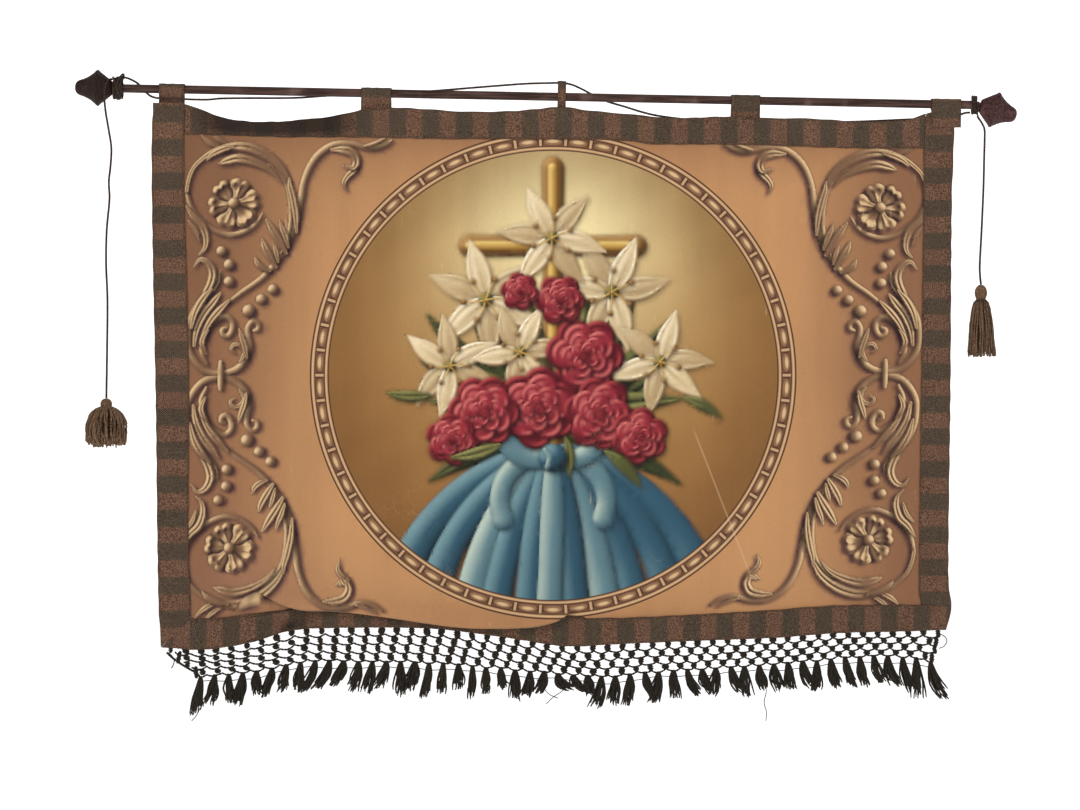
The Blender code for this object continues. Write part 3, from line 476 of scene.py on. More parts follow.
# One quarter of the scrollwork, in the order it is laid: kind, then (x, y, half width) along each stroke
SCROLLS = (
    ("tube", (
        (228, 304, 1.6), (242, 293, 2.4), (264, 277, 3.0), (284, 253, 3.5), (296, 226, 3.7),
        (301, 198, 3.6), (304, 180, 3.4), (311, 163, 3.6), (321, 151, 3.8), (335, 143.5, 3.6),
        (352, 143, 3.2), (368, 147, 3.0), (381, 145, 2.6), (391, 139, 1.4),
    )),
    ("tube", ((364, 145, 1.4), (374, 142, 2.0), (384, 137, 1.2))),
    ("tube", ((343, 165, 1.0), (350, 171, 2.0), (345, 176, 1.2))),
    ("leaf", ((356, 158, 2.8), (355, 168, 3.6), (348, 175, 3.2), (344, 182, 2.4), (346, 190, 0.8))),
    ("leaf", (
        (331, 149, 1.6), (342, 149, 4.2), (352, 152, 5.0), (356, 160, 4.2), (353, 167, 2.8),
        (346, 165, 1.2),
    )),
    ("leaf", ((226, 144, 1.2), (218, 139, 2.6), (211, 133, 1.2))),
    ("leaf", ((220, 148, 1.4), (211, 144, 3.0), (203, 138, 1.6), (200, 133, 0.8))),
    ("tube", (
        (187, 192, 2.0), (190, 204, 2.4), (196, 214, 2.4), (205, 223, 2.6), (216, 231, 2.8),
        (230, 235, 3.0), (244, 232, 2.6), (256, 224, 2.0), (263, 213, 0.9),
    )),
    ("tube", (
        (262, 162, 1.2), (274, 168, 1.8), (285, 182, 2.0), (290, 200, 2.2), (291, 219, 2.2),
        (288, 238, 2.0), (282, 253, 1.2),
    )),
    ("leaf", (
        (290, 184, 1.4), (283, 170, 3.6), (272, 159, 4.8), (258, 151, 5.4), (243, 147, 5.2),
        (228, 148, 4.4), (214, 152, 3.2), (203, 159, 2.4), (194, 168, 2.2), (189, 180, 2.2),
        (187, 192, 2.0),
    )),
    ("leaf", (
        (281, 182, 1.0), (271, 171, 2.6), (256, 163, 4.2), (240, 159, 5.0), (228, 161, 4.2),
        (219, 164, 1.0),
    )),
    ("leaf", ((233, 147, 1.2), (222, 150, 3.4), (212, 155, 2.8), (207, 160, 0.9))),
    ("leaf", ((297, 232, 1.4), (296, 213, 3.4), (293, 197, 3.6), (290, 186, 2.8), (289, 177, 0.8))),
    ("leaf", ((271, 271, 1.4), (264, 268, 3.0), (259, 264, 3.0), (256, 258, 1.0))),
    ("leaf", ((277, 267, 1.8), (271, 257, 3.8), (266, 248, 3.6), (263, 240, 1.4))),
    ("leaf", ((279, 262, 1.2), (277, 252, 2.6), (274, 244, 1.0))),
    ("leaf", ((287, 253, 2.0), (281, 242, 4.0), (274, 231, 4.2), (267, 220, 1.4))),
    ("leaf", ((289, 247, 1.4), (286, 236, 3.0), (283, 229, 2.6), (280, 220, 0.9))),
    ("leaf", ((189, 222, 1.2), (196, 230, 2.4), (200, 242, 1.0))),
    ("leaf", (
        (187, 207, 1.2), (194, 217, 3.4), (203, 226, 4.0), (207, 238, 3.4), (206, 248, 2.4),
        (200, 255, 1.0),
    )),
    ("leaf", ((221, 271, 1.0), (219, 282, 2.4), (213, 292, 2.8), (205, 304, 1.8))),
    ("leaf", (
        (195, 267, 0.9), (201, 260, 2.2), (209, 263, 3.6), (214, 273, 4.4), (212, 284, 4.2),
        (206, 295, 3.4), (199, 308, 2.4), (193, 320, 1.6),
    )),
    ("tube", (
        (256, 331, 1.8), (260, 329, 2.6), (260, 324, 2.9), (255, 321, 2.9), (250, 327, 2.9),
        (250, 336, 3.2), (252, 346, 3.6), (249, 358, 3.8), (241, 368, 3.8), (230, 373, 3.6),
        (218, 374, 3.6), (206, 370, 3.6), (197, 361, 3.6), (191, 349, 3.4), (190, 335, 3.2),
        (192, 320, 3.0), (198, 306, 2.6), (206, 293, 1.6),
    )),
    ("leaf", ((196, 346, 1.6), (199, 330, 3.2), (206, 315, 4.0), (215, 303, 4.0), (222, 293, 1.2))),
    ("leaf", ((193, 328, 1.6), (197, 313, 3.4), (204, 300, 3.8), (213, 289, 1.2))),
    ("tube", (
        (228, 328, 1.6), (224, 330, 2.4), (225, 335, 2.8), (230, 336, 3.0), (234, 330, 3.2),
        (234, 322, 3.2), (228, 317, 3.0), (220, 320, 3.0), (211, 328, 3.0), (206, 340, 3.0),
        (204, 352, 2.6), (209, 364, 1.6),
    )),
    ("leaf", ((204, 336, 1.6), (212, 322, 3.4), (221, 311, 3.8), (231, 300, 1.2))),
    ("leaf", ((208, 354, 1.2), (204, 344, 2.8), (206, 336, 2.6), (210, 330, 0.9))),
    ("leaf", (
        (242, 362, 1.2), (247, 353, 2.6), (243, 346, 2.4), (236, 345, 2.2), (233, 350, 1.6),
        (237, 353, 1.0),
    )),
    ("leaf", ((249, 358, 1.4), (247, 347, 3.0), (244, 338, 2.8), (241, 329, 0.9))),
    ("tube", ((223, 362, 2.2), (223, 369, 3.0), (223, 383, 3.0))),
)
BEADS = (
    (222.5, 251.5, 5.4), (230.2, 265.0, 5.6), (230.5, 282.0, 5.6),
    (274.3, 289.5, 5.4), (262.8, 299.5, 5.6), (250.5, 311.0, 6.6),
)
ROSETTE = (234.0, 203.6)
ROSETTE_RADIUS = 26.5
ROSETTE_PETALS = 6
RIDGES = {"tube": tube, "leaf": leaf}


def lay_rosette(canvas):
    """A round flower with notched petals that curl up at their rims, and a boss."""
    x0, y0 = ROSETTE
    room = ROSETTE_RADIUS + SHADOW_ROOM
    place, xs, ys = canvas.window(x0 - room, y0 - room, x0 + room, y0 + room)
    dx, dy = xs[None] - x0, ys[:, None] - y0
    away = np.hypot(dx, dy)
    turn = math.tau / ROSETTE_PETALS
    off = (np.arctan2(dy, dx) + turn / 2 + 0.18) % turn - turn / 2
    notch = 2.6 * np.exp(-((off / 0.11) ** 2))
    rim = ROSETTE_RADIUS * np.clip(np.cos(off * 1.75), 0.0, 1) ** 0.33 - notch
    q = away / np.maximum(rim, 1)
    solid = np.clip((rim - away) / canvas.step + 0.5, 0, 1)
    height = 2.2 * q + 3.2 * np.exp(-(((q - 0.84) / 0.11) ** 2)) - 1.6 * np.exp(-(((q - 0.55) / 0.2) ** 2))
    height += 1.5 * np.exp(-((off / 0.09) ** 2)) * np.exp(-(((q - 0.5) / 0.25) ** 2))
    gap = np.exp(-(((np.abs(off) - turn / 2) / 0.10) ** 2))
    canvas.lay(place, height * (1 - gap) - 2.5 * gap, solid, ORNAMENT, shadow=0.75, outline=0.85)
    for k in range(ROSETTE_PETALS):
        angle = k * turn - 0.18 + turn / 2
        points = [
            (x0 + math.cos(angle) * reach, y0 + math.sin(angle) * reach, half)
            for reach, half in ((8.5, 1.0), (12.0, 1.5), (15.5, 0.8))
        ]
        canvas.stroke(points, ORNAMENT_GAP, tube, shadow=0, outline=0)
    canvas.ball(x0, y0, 5.8, BEAD, shadow=0.5, outline=0.7)


ORNAMENT_GAP = ((44, 28, 26), (64, 42, 38), (84, 58, 50))


def ornament_canvas(light):
    """One quarter of the ornament, painted."""
    canvas = Canvas(178, 122, 400, 384, 0.5, light)
    for kind, points in SCROLLS:
        canvas.stroke(points, ORNAMENT, RIDGES[kind])
    lay_rosette(canvas)
    for x, y, radius in BEADS:
        canvas.ball(x, y, radius, BEAD, shadow=0.75, outline=0.8)
    return canvas


# The round field: a bouquet of lilies and roses tied with a blue cloth before a plain cross

CREAM = ((128, 96, 62), (216, 192, 150), (246, 232, 200))
CREAM_SHADE = ((108, 80, 52), (186, 158, 116), (226, 206, 166))
CRIMSON = ((72, 14, 24), (146, 40, 52), (214, 112, 108))
DEEP_CRIMSON = ((48, 8, 16), (104, 22, 34), (170, 64, 66))
BLUE = ((16, 30, 40), (46, 82, 100), (112, 146, 152))
PALE_BLUE = ((34, 58, 70), (92, 124, 132), (176, 192, 180))
GREEN = ((28, 34, 20), (82, 84, 44), (146, 140, 84))
GREEN_DARK = ((20, 26, 16), (56, 62, 34), (104, 104, 62))
GOLD = ((96, 60, 20), (186, 140, 62), (240, 208, 128))
WOOD = ((62, 38, 18), (128, 88, 44), (186, 140, 82))


def polar(x, y, angle, reach, half):
    """A point of a stroke at an angle and a distance from (x, y), with its half width."""
    return (x + math.cos(angle) * reach, y + math.sin(angle) * reach, half)


def curved(x, y, angle, bend, length, halves):
    """Points of a stroke that leaves (x, y) at an angle and bends evenly along its length."""
    points = []
    step = length / (len(halves) - 1)
    for half in halves:
        points.append((x, y, half))
        angle += bend / len(halves)
        x += math.cos(angle) * step
        y += math.sin(angle) * step
    return points


def lay_leaf(canvas, x, y, angle, length, bend=0.5, look=GREEN, wide=0.13):
    """One curved leaf."""
    halves = [length * wide * share for share in (0.25, 0.75, 1.0, 0.9, 0.55, 0.08)]
    canvas.stroke(curved(x, y, angle, bend, length, halves), look, leaf, shadow=0.3)


def lay_lily(canvas, x, y, size, facing, chance):
    """Six long petals round a golden throat, the three behind laid first."""
    for back in (True, False):
        look = CREAM_SHADE if back else CREAM
        for k in range(3):
            angle = facing + (k + (0.5 if back else 0.0)) * math.tau / 3 + chance.uniform(-0.08, 0.08)
            halves = [size * share for share in (0.05, 0.15, 0.20, 0.17, 0.09, 0.012)]
            bend = chance.uniform(-0.5, 0.5)
            canvas.stroke(curved(x, y, angle, bend, size, halves), look, petal, shadow=0.28, outline=0.45)
            vein = [size * share for share in (0.022, 0.018, 0.012, 0.005)]
            points = curved(x, y, angle, bend * 0.7, size * 0.72, vein)
            canvas.stroke(points, CREAM_SHADE, tube, shadow=0, outline=0.25)
    canvas.ball(x, y, size * 0.11, GREEN, shadow=0.2)
    for k in range(6):
        angle = facing + 0.3 + k * math.tau / 6
        points = curved(x, y, angle, 0.5, size * 0.36, (0.9, 0.7, 0.6))
        canvas.stroke(points, GOLD, tube, shadow=0.2, outline=0.4)
        tip_x, tip_y, _ = points[-1]
        canvas.ball(tip_x, tip_y, size * 0.032 + 0.6, WOOD, shadow=0.2)


def lay_rose(canvas, x, y, size, chance):
    """Rings of wide petals, each ring inside the last and turned half a petal."""
    for ring, (count, away, half, look) in enumerate((
        (6, 0.60, 0.40, DEEP_CRIMSON), (5, 0.46, 0.36, CRIMSON), (5, 0.32, 0.27, CRIMSON),
        (4, 0.19, 0.19, CRIMSON), (3, 0.08, 0.12, DEEP_CRIMSON),
    )):
        start = chance.uniform(0, math.tau)
        for k in range(count):
            angle = start + k * math.tau / count + chance.uniform(-0.12, 0.12)
            spread = 0.36 / (1 + ring * 0.15)
            points = [
                polar(
                    x, y, angle + turn * spread, size * away * (1 - 0.12 * abs(turn)),
                    size * half * (1 - 0.3 * abs(turn)),
                )
                for turn in (-1.3, -0.6, 0.0, 0.6, 1.3)
            ]
            canvas.stroke(points, look, petal, shadow=0.32, outline=0.5)


def lay_fold(canvas, x, y, angle, bend, length, start, end, look):
    """One fold of cloth, swelling towards its end."""
    shares = (0, 0.2, 0.4, 0.6, 0.8, 1.0)
    halves = [start + (end - start) * share + 1.5 * math.sin(5 * share) for share in shares]
    canvas.stroke(curved(x, y, angle, bend, length, halves), look, cloth, shadow=0.35, outline=0.55)


def bouquet_canvas(light):
    """The medallion's generic design: a plain cross, lilies, roses and a blue cloth."""
    chance = random.Random(21)
    canvas = Canvas(322, 136, 786, 612, 0.75, light)
    down = math.pi / 2
    for x0, y0, x1, y1 in ((553, 168, 553, 470), (470, 246, 636, 246)):
        x, y = (x0 + x1) / 2, (y0 + y1) / 2
        canvas.stroke(((x0, y0, 11), (x, y, 10), (x1, y1, 11)), WOOD, cloth, shadow=0.4)
        canvas.stroke(((x0, y0, 5), (x, y, 5), (x1, y1, 5)), GOLD, tube, shadow=0, outline=0.5)
    for angle, bend, length in (
        (-2.9, 0.5, 150), (-2.6, 0.4, 170), (-2.3, 0.35, 165), (-2.0, 0.3, 150), (-0.25, -0.5, 150),
        (-0.55, -0.4, 168), (-0.85, -0.35, 160), (-1.15, -0.3, 150), (3.0, -0.5, 135), (0.15, 0.5, 140),
    ):
        lay_leaf(canvas, 553, 430, angle, length, bend, GREEN_DARK, 0.085)
    for angle, bend, length in (
        (-2.75, -0.4, 128), (-2.45, -0.3, 120), (-0.4, 0.4, 132), (-0.75, 0.3, 120), (-1.9, 0.25, 150),
        (-1.25, -0.2, 150),
    ):
        lay_leaf(canvas, 553, 425, angle, length, bend, GREEN, 0.1)
    for x, y, angle, bend, length, start, end, look in (
        (540, 452, 2.95, -1.0, 175, 9, 19, BLUE), (540, 455, 2.7, -0.9, 168, 9, 18, BLUE),
        (566, 452, 0.2, 1.0, 172, 9, 19, BLUE), (566, 456, 0.45, 0.9, 165, 9, 18, BLUE),
        (542, 458, 2.4, -0.7, 155, 9, 17, PALE_BLUE), (564, 458, 0.75, 0.7, 155, 9, 17, BLUE),
        (545, 460, 2.1, -0.4, 150, 9, 17, BLUE), (561, 460, 1.05, 0.45, 152, 9, 18, PALE_BLUE),
        (549, 462, 1.8, -0.2, 148, 9, 17, BLUE), (557, 462, 1.35, 0.2, 148, 9, 17, BLUE),
        (553, 464, down, 0.05, 146, 8, 15, PALE_BLUE),
    ):
        lay_fold(canvas, x, y, angle, bend, length, start, end, look)
    for x, y, angle, bend, length in (
        (548, 456, -2.9, -2.4, 92), (558, 456, -0.25, 2.4, 92), (549, 460, 2.75, 2.2, 74),
        (557, 460, 0.4, -2.2, 74),
    ):
        lay_fold(canvas, x, y, angle, bend, length, 7, 12, PALE_BLUE)
    for x, y, size, facing in (
        (486, 300, 62, 0.4), (612, 292, 60, 1.1), (552, 238, 56, 0.1), (450, 366, 52, 1.5),
        (660, 362, 54, 0.8), (520, 352, 50, 0.9),
    ):
        lay_lily(canvas, x, y, size, facing, chance)
    for x, y, size in (
        (585, 356, 40), (538, 408, 42), (600, 414, 37), (484, 412, 37), (640, 436, 29), (452, 440, 27),
        (560, 300, 26), (520, 292, 20),
    ):
        lay_rose(canvas, x, y, size, chance)
    for x, y, angle, length in (
        (500, 445, 2.6, 52), (606, 452, 0.5, 52), (566, 438, 1.2, 40), (430, 395, 2.9, 44),
        (684, 398, 0.2, 44),
    ):
        lay_leaf(canvas, x, y, angle, length, 0.6)
    canvas.ball(553, 458, 14, BLUE, shadow=0.5)
    canvas.stroke(((545, 450, 2), (550, 458, 3.5), (547, 468, 2)), PALE_BLUE, tube, shadow=0, outline=0.3)
    return canvas


# The print as a whole, as a colour for each place of it

PRINT_MIDDLE = (553, 375)
RING_MIDDLE = (553.0, 375.2)
RING_INNER = 224.4
RING_OUTER = 243.4
ROSETTE_CORNERS = ((234.0, 203.6), (880.0, 208.0), (229.7, 548.0), (868.0, 540.0))


def mottle(x, y, seed, lengths):
    """Soft clouds of waves, about -1 to 1."""
    chance = random.Random(seed)
    total = np.zeros_like(x)
    for length in lengths:
        for _ in range(5):
            angle = chance.uniform(0, math.tau)
            start = chance.uniform(0, math.tau)
            wave = math.tau / (length * chance.uniform(0.7, 1.3))
            total += np.sin((x * math.cos(angle) + y * math.sin(angle)) * wave + start)
    return total / (2.2 * math.sqrt(len(lengths)) * 1.6)


def quarter_place(x, y):
    """Where a place of the print lies in the upper left quarter, and whether it is in the lower half."""
    (lx0, ly0), (rx0, ry0), (lx1, ly1), (rx1, ry1) = ROSETTE_CORNERS
    a = (x - lx0) / (rx0 - lx0)
    b = (y - ly0) / (ly1 - ly0)
    for _ in range(3):
        top = ly0 + (ry0 - ly0) * a
        b = (y - top) / (ly1 + (ry1 - ly1) * a - top)
        left = lx0 + (lx1 - lx0) * b
        a = (x - left) / (rx0 + (rx1 - rx0) * b - left)
    qx = lx0 + (rx0 - lx0) * (0.5 - np.abs(a - 0.5))
    qy = ly0 + (ly1 - ly0) * (0.5 - np.abs(b - 0.5))
    return qx, qy, b > 0.5


def print_colour(x, y):
    """The print's linear colour at arrays of places in print units."""
    shape = x.shape
    x, y = np.ravel(x), np.ravel(y)
    clouds = mottle(x, y, 3, (240, 90))[:, None]
    ground = linear((186, 137, 92)) * np.ones((len(x), 3))
    right, down = x - PRINT_MIDDLE[0], y - PRINT_MIDDLE[1]
    side = np.maximum(np.abs(right) / 366, np.maximum(-down / 285, down / 325))[:, None]
    ground += (linear((124, 85, 62)) - ground) * ease((side - 0.58) / 0.40) * 0.85
    # painted shade: the upper left corner of the print is darker, where the leaning top band shades it
    painted_corner_shade = np.exp(-(((x - 175) / 150) ** 2 + ((y - 130) / 190) ** 2))[:, None]
    ground += (linear((112, 78, 56)) - ground) * painted_corner_shade * 0.6
    rosy = np.exp(-(((x - 260) / 70) ** 2 + ((y - 590) / 45) ** 2))[:, None]
    ground += (linear((138, 98, 80)) - ground) * rosy * 0.5
    ground *= 1 + 0.05 * clouds
    qx, qy, low = quarter_place(x, y)
    for lower, light in ((False, (-0.62, -0.5, 0.6)), (True, (-0.62, 0.28, 0.6))):
        part = np.flatnonzero(low == lower)
        rgb, cover, shade = ornament_canvas(light).sample(qx[part], qy[part])
        # where the quarter's drawing ends, its last line of shade isn't carried on
        shade = np.where(qx[part] > 399, 1.0, shade)
        dim = ground[part] * (1 - (1 - shade[:, None]) * (1 - 0.35 * SHADE_TINT))
        ground[part] = rgb + dim * (1 - cover[:, None])
    away = np.hypot(x - RING_MIDDLE[0], y - RING_MIDDLE[1])
    dx, dy = (x - 560) / 105, (y - 232) / 120
    glow = np.exp(-(dx * dx + dy * dy))[:, None]
    wide_glow = np.exp(-((dx / 2.1) ** 2 + (dy / 2.0) ** 2))[:, None]
    field = linear((132, 87, 46)) * np.ones((len(x), 3))
    field += (linear((178, 138, 80)) - field) * wide_glow
    field += (linear((236, 218, 164)) - field) * glow * 0.9
    field += (linear((112, 78, 42)) - field) * ease((away[:, None] - 150) / 80) * 0.45
    field *= 1 + 0.06 * mottle(x, y, 11, (160, 60))[:, None]
    rgb, cover, shade = bouquet_canvas((-0.55, -0.6, 0.62)).sample(x, y)
    field = rgb * (1 + 0.05 * clouds) + field * shade[:, None] * (1 - cover[:, None])
    inside = ease((RING_INNER + 14 - away) / 12)[:, None]
    colour = ground + (field - ground) * inside
    return np.clip(colour, 0, 1).reshape(*shape, 3)


SHADE_TINT = np.array([0.15, 0.0, 0.7])


# The printed cloth as one mesh, fine where the print or the folds are


CELL = 16
CELLS_ACROSS = 53
CELLS_DOWN = 34
RIM_CELLS = 2
SHAPE_SLIP = 0.2
BACK_SLIP = 3 * SHAPE_SLIP
COLOUR_SLIP = 0.030
PANEL_MOST = 184500
FIRST_LIMIT = 1.6
LIMIT_STEP = 1.04
FIELD_FINENESS = 0.75
PEAK_TO_MEAN = 3.0
COLOUR_ROOM = {16: 0.6, 8: 0.7, 4: 0.95, 2: 1.6}


def whole_cells(values):
    """For each cell size of a lattice, the cells whose corners already give their inside well enough.

    Of each place's values, the first three may slip by 1 at most. The others may slip on the whole
    by their room at that size, so that the smallest cells are kept for the strongest lines.
    """
    rows, columns = values.shape[0] - 1, values.shape[1] - 1
    active = np.ones((rows // CELL, columns // CELL), bool)
    size = CELL
    found = {}
    while size > 1:
        corners = [values[r : rows + r - size + 1 : size, c : columns + c - size + 1 : size] for r, c in
                   ((0, 0), (0, size), (size, 0), (size, size))]
        worst, peak, total = (np.zeros(active.shape) for _ in range(3))
        for i in range(size + 1):
            for j in range(size + 1):
                s, t = i / size, j / size
                guess = (corners[0] * (1 - s) * (1 - t) + corners[1] * (1 - s) * t
                         + corners[2] * s * (1 - t) + corners[3] * s * t)
                true = values[i : rows + i - size + 1 : size, j : columns + j - size + 1 : size]
                slip = np.abs(true - guess)
                worst = np.maximum(worst, slip[..., :3].max(-1))
                if values.shape[-1] > 3:
                    slips = (slip[..., 3:] ** 2).sum(-1)
                    total += slips
                    peak = np.maximum(peak, np.sqrt(slips) / PEAK_TO_MEAN)
        mean = np.sqrt(total / (size + 1) ** 2)
        split = active & ((worst > 1) | (np.maximum(peak, mean) > COLOUR_ROOM[size]))
        found[size] = active & ~split
        active = np.repeat(np.repeat(split, 2, 0), 2, 1)
        size //= 2
    found[1] = active
    return evened(found)


def evened(found):
    """The cells split further until each is at most twice as wide as any beside it."""
    sizes = sorted(found)
    width = sum(np.repeat(np.repeat(found[size] * size, size, 0), size, 1) for size in sizes)
    changed = True
    while changed:
        changed = False
        for size in sizes[2:]:
            least = width.copy()
            least[1:] = np.minimum(least[1:], width[:-1])
            least[:-1] = np.minimum(least[:-1], width[1:])
            least[:, 1:] = np.minimum(least[:, 1:], width[:, :-1])
            least[:, :-1] = np.minimum(least[:, :-1], width[:, 1:])
            rows, columns = width.shape[0] // size, width.shape[1] // size
            least = least.reshape(rows, size, columns, size).min((1, 3))
            split = (width[::size, ::size] == size) & (least < size // 2)
            if split.any():
                changed = True
                width = np.where(np.repeat(np.repeat(split, size, 0), size, 1), size // 2, width)
    return {size: width[::size, ::size] == size for size in sizes}


def box_mean(values, size):
    """Each place's value as the mean of the places within half a cell of it."""
    reach = size // 2
    padded = np.pad(values, ((reach + 1, reach), (reach + 1, reach), (0, 0)), mode="edge")
    total = padded.cumsum(0).cumsum(1)
    span = 2 * reach + 1
    window = total[span:, span:] - total[:-span, span:] - total[span:, :-span] + total[:-span, :-span]
    return window / span**2


def cell_width(cells):
    """At each place of a lattice, the width of the smallest cell that touches it."""
    width = sum(np.repeat(np.repeat(cells[size] * size, size, 0), size, 1) for size in cells)
    padded = np.pad(width, 1, mode="edge")
    least = np.minimum(padded[:-1], padded[1:])
    return np.minimum(least[:, :-1], least[:, 1:])


def used_places(cells, shape):
    """Which places of a lattice are a corner of some cell."""
    used = np.zeros(shape, bool)
    for size, whole in cells.items():
        r, c = np.nonzero(whole)
        for i in (0, size):
            for j in (0, size):
                used[r * size + i, c * size + j] = True
    return used


def cell_faces(cells, used):
    """A face for each cell, with more than four corners where its neighbours are finer."""
    faces = []
    for size, whole in cells.items():
        for r, c in zip(*(places.tolist() for places in np.nonzero(whole))):
            r, c = r * size, c * size
            ring = [(r + k, c) for k in range(size)]
            ring += [(r + size, c + k) for k in range(size)]
            ring += [(r + size - k, c + size) for k in range(size)]
            ring += [(r, c + size - k) for k in range(size)]
            if size > 1:
                ring = [place for place in ring if used[place]]
            faces.append(tuple(ring))
    return faces


def panel_mesh():
    """The print's front and back as one closed mesh, fine where its colours need it."""
    rim = np.linspace(EDGE_TUCK, 1, RIM_CELLS * CELL + 1)
    level = np.linspace(1, 2, CELLS_ACROSS * CELL + 1)
    right = np.linspace(2, 3 - EDGE_TUCK, RIM_CELLS * CELL + 1)
    u = np.concatenate([rim, level[1:], right[1:]])
    upright = np.linspace(1, 2, CELLS_DOWN * CELL + 1)
    foot = np.linspace(2, FOOT_TUCK, RIM_CELLS * CELL + 1)
    v = np.concatenate([rim, upright[1:], foot[1:]])
    across, down = np.meshgrid(u, v)
    points = sheet_points(across, down)
    normals = lattice_normals(points)
    points = points + normals * creases(points[..., 0], points[..., 2])[..., None]
    x = UNIT_X + points[..., 0] / UNIT
    y = UNIT_Y - points[..., 2] / UNIT
    colour = print_colour(x, y)
    shown = (across >= 1) & (across <= 2) & (down >= 1) & (down <= 2)
    print_part = np.where(shown[..., None], colour, 0.25)
    seen = np.sqrt(print_part)
    seen[~shown] = seen[shown].mean(0)
    away = np.hypot(x - RING_MIDDLE[0], y - RING_MIDDLE[1])
    fineness = np.where(away < RING_INNER, FIELD_FINENESS, 1.0)[..., None]
    # the limit on how far colours slip is raised until the mesh is small enough
    shape = points.shape[:2]
    limit = FIRST_LIMIT
    while True:
        values = np.concatenate([points / SHAPE_SLIP, seen * fineness / COLOUR_SLIP / limit], -1)
        front = whole_cells(values)
        used_front = used_places(front, shape)
        if 2 * int(used_front.sum()) < PANEL_MOST:
            break
        limit *= LIMIT_STEP
    back = whole_cells(points / BACK_SLIP)
    used_back = used_places(back, shape)
    edge = np.zeros(shape, bool)
    edge[[0, -1]] = True
    edge[:, [0, -1]] = True
    both = (used_front | used_back) & edge
    used_front |= both
    used_back |= both
    # a place beside wide cells takes the mean colour round it, so that thin lines fade there
    width = cell_width(front)
    faded = colour.copy()
    for size in sorted(front)[1:]:
        wide = width == size
        faded[wide] = box_mean(colour, size)[wide]
    index, verts, colours, places = {}, [], [], []
    half = PANEL_THICK / 2

    def vertex(place, side):
        key = (place, side)
        if key not in index:
            index[key] = len(verts)
            verts.append(points[place] + normals[place] * side * half)
            colours.append(faded[place])
            places.append((x[place], y[place], side))
        return index[key]

    faces = [[vertex(place, 1) for place in face] for face in cell_faces(front, used_front)]
    faces += [[vertex(place, -1) for place in reversed(face)] for face in cell_faces(back, used_back)]
    last_row, last_column = shape[0] - 1, shape[1] - 1
    ring = [(r, 0) for r in range(last_row)] + [(last_row, c) for c in range(last_column)]
    ring += [(last_row - r, last_column) for r in range(last_row)]
    ring += [(0, last_column - c) for c in range(last_column)]
    ring = [place for place in ring if both[place]]
    for place, after in zip(ring, ring[1:] + ring[:1]):
        faces.append([vertex(place, 1), vertex(place, -1), vertex(after, -1), vertex(after, 1)])
    return np.array(verts), faces, np.array(colours), np.array(places)


# Materials, all of nodes


def node(tree, kind, values=(), **settings):
    """A new node with its inputs set or linked."""
    made = tree.nodes.new(kind)
    for key, value in settings.items():
        setattr(made, key, value)
    for key, value in dict(values).items():
        if isinstance(value, bpy.types.NodeSocket):
            tree.links.new(value, made.inputs[key])
        else:
            made.inputs[key].default_value = value
    return made


def sums(tree, operation, *values):
    """A Math node's value."""
    return node(tree, "ShaderNodeMath", enumerate(values), operation=operation).outputs[0]


def ramp_up(tree, value, low, high):
    """0 below low, 1 above high, smooth between. low may be the greater."""
    made = node(tree, "ShaderNodeMapRange", {0: value, 1: low, 2: high}, interpolation_type="SMOOTHSTEP")
    return made.outputs[0]


def blend_colour(tree, share, first, second, blend="MIX"):
    """A blend of two colours, each linked or given as red, green and blue of 255."""
    values = {0: share, 6: first, 7: second}
    for key in (6, 7):
        if not isinstance(values[key], bpy.types.NodeSocket):
            values[key] = (*linear(values[key]), 1.0)
    return node(tree, "ShaderNodeMix", values, data_type="RGBA", blend_type=blend).outputs[2]


def noise(tree, place, scale, detail=2.0, stretch=None):
    """A noise texture's value at a place."""
    if stretch:
        place = node(tree, "ShaderNodeMapping", {"Vector": place, "Scale": stretch}).outputs[0]
    return node(tree, "ShaderNodeTexNoise", {"Vector": place, "Scale": scale, "Detail": detail}).outputs[0]


def stripes(tree, place, scale, direction="X", distortion=0.0):
    """A wave texture's value at a place."""
    return node(
        tree, "ShaderNodeTexWave", {"Vector": place, "Scale": scale, "Distortion": distortion, "Detail": 1.0},
        bands_direction=direction,
    ).outputs[1]


def new_material(name, roughness, sheen=0.0):
    """A material with its surface shader and the object's own coordinates."""
    made = bpy.data.materials.new(name)
    made.use_nodes = True
    tree = made.node_tree
    surface = tree.nodes["Principled BSDF"]
    surface.inputs["Roughness"].default_value = roughness
    surface.inputs["Sheen Weight"].default_value = sheen
    surface.inputs["Sheen Roughness"].default_value = 0.6
    surface.inputs["Specular IOR Level"].default_value = 0.15
    place = node(tree, "ShaderNodeTexCoord").outputs["Object"]
    return made, tree, surface, place


def finish_material(tree, surface, colour, height, depth, strength=0.6):
    """Links the colour and a bump to the surface."""
    tree.links.new(colour, surface.inputs["Base Color"])
    bump = node(tree, "ShaderNodeBump", {"Strength": strength, "Distance": depth, "Height": height})
    tree.links.new(bump.outputs[0], surface.inputs["Normal"])


def tinted(tree, colour, value, low, high):
    """A colour dimmed or lifted by a value of about 0 to 1."""
    share = sums(tree, "MULTIPLY_ADD", value, high - low, low)
    grey = node(tree, "ShaderNodeCombineColor", {0: share, 1: share, 2: share}).outputs[0]
    return blend_colour(tree, 1.0, colour, grey, "MULTIPLY")


def attribute(tree, name):
    """A mesh attribute's node."""
    return node(tree, "ShaderNodeAttribute", attribute_name=name)


RING_BEADS = 58
RING_BEAD_LINE = 233.5


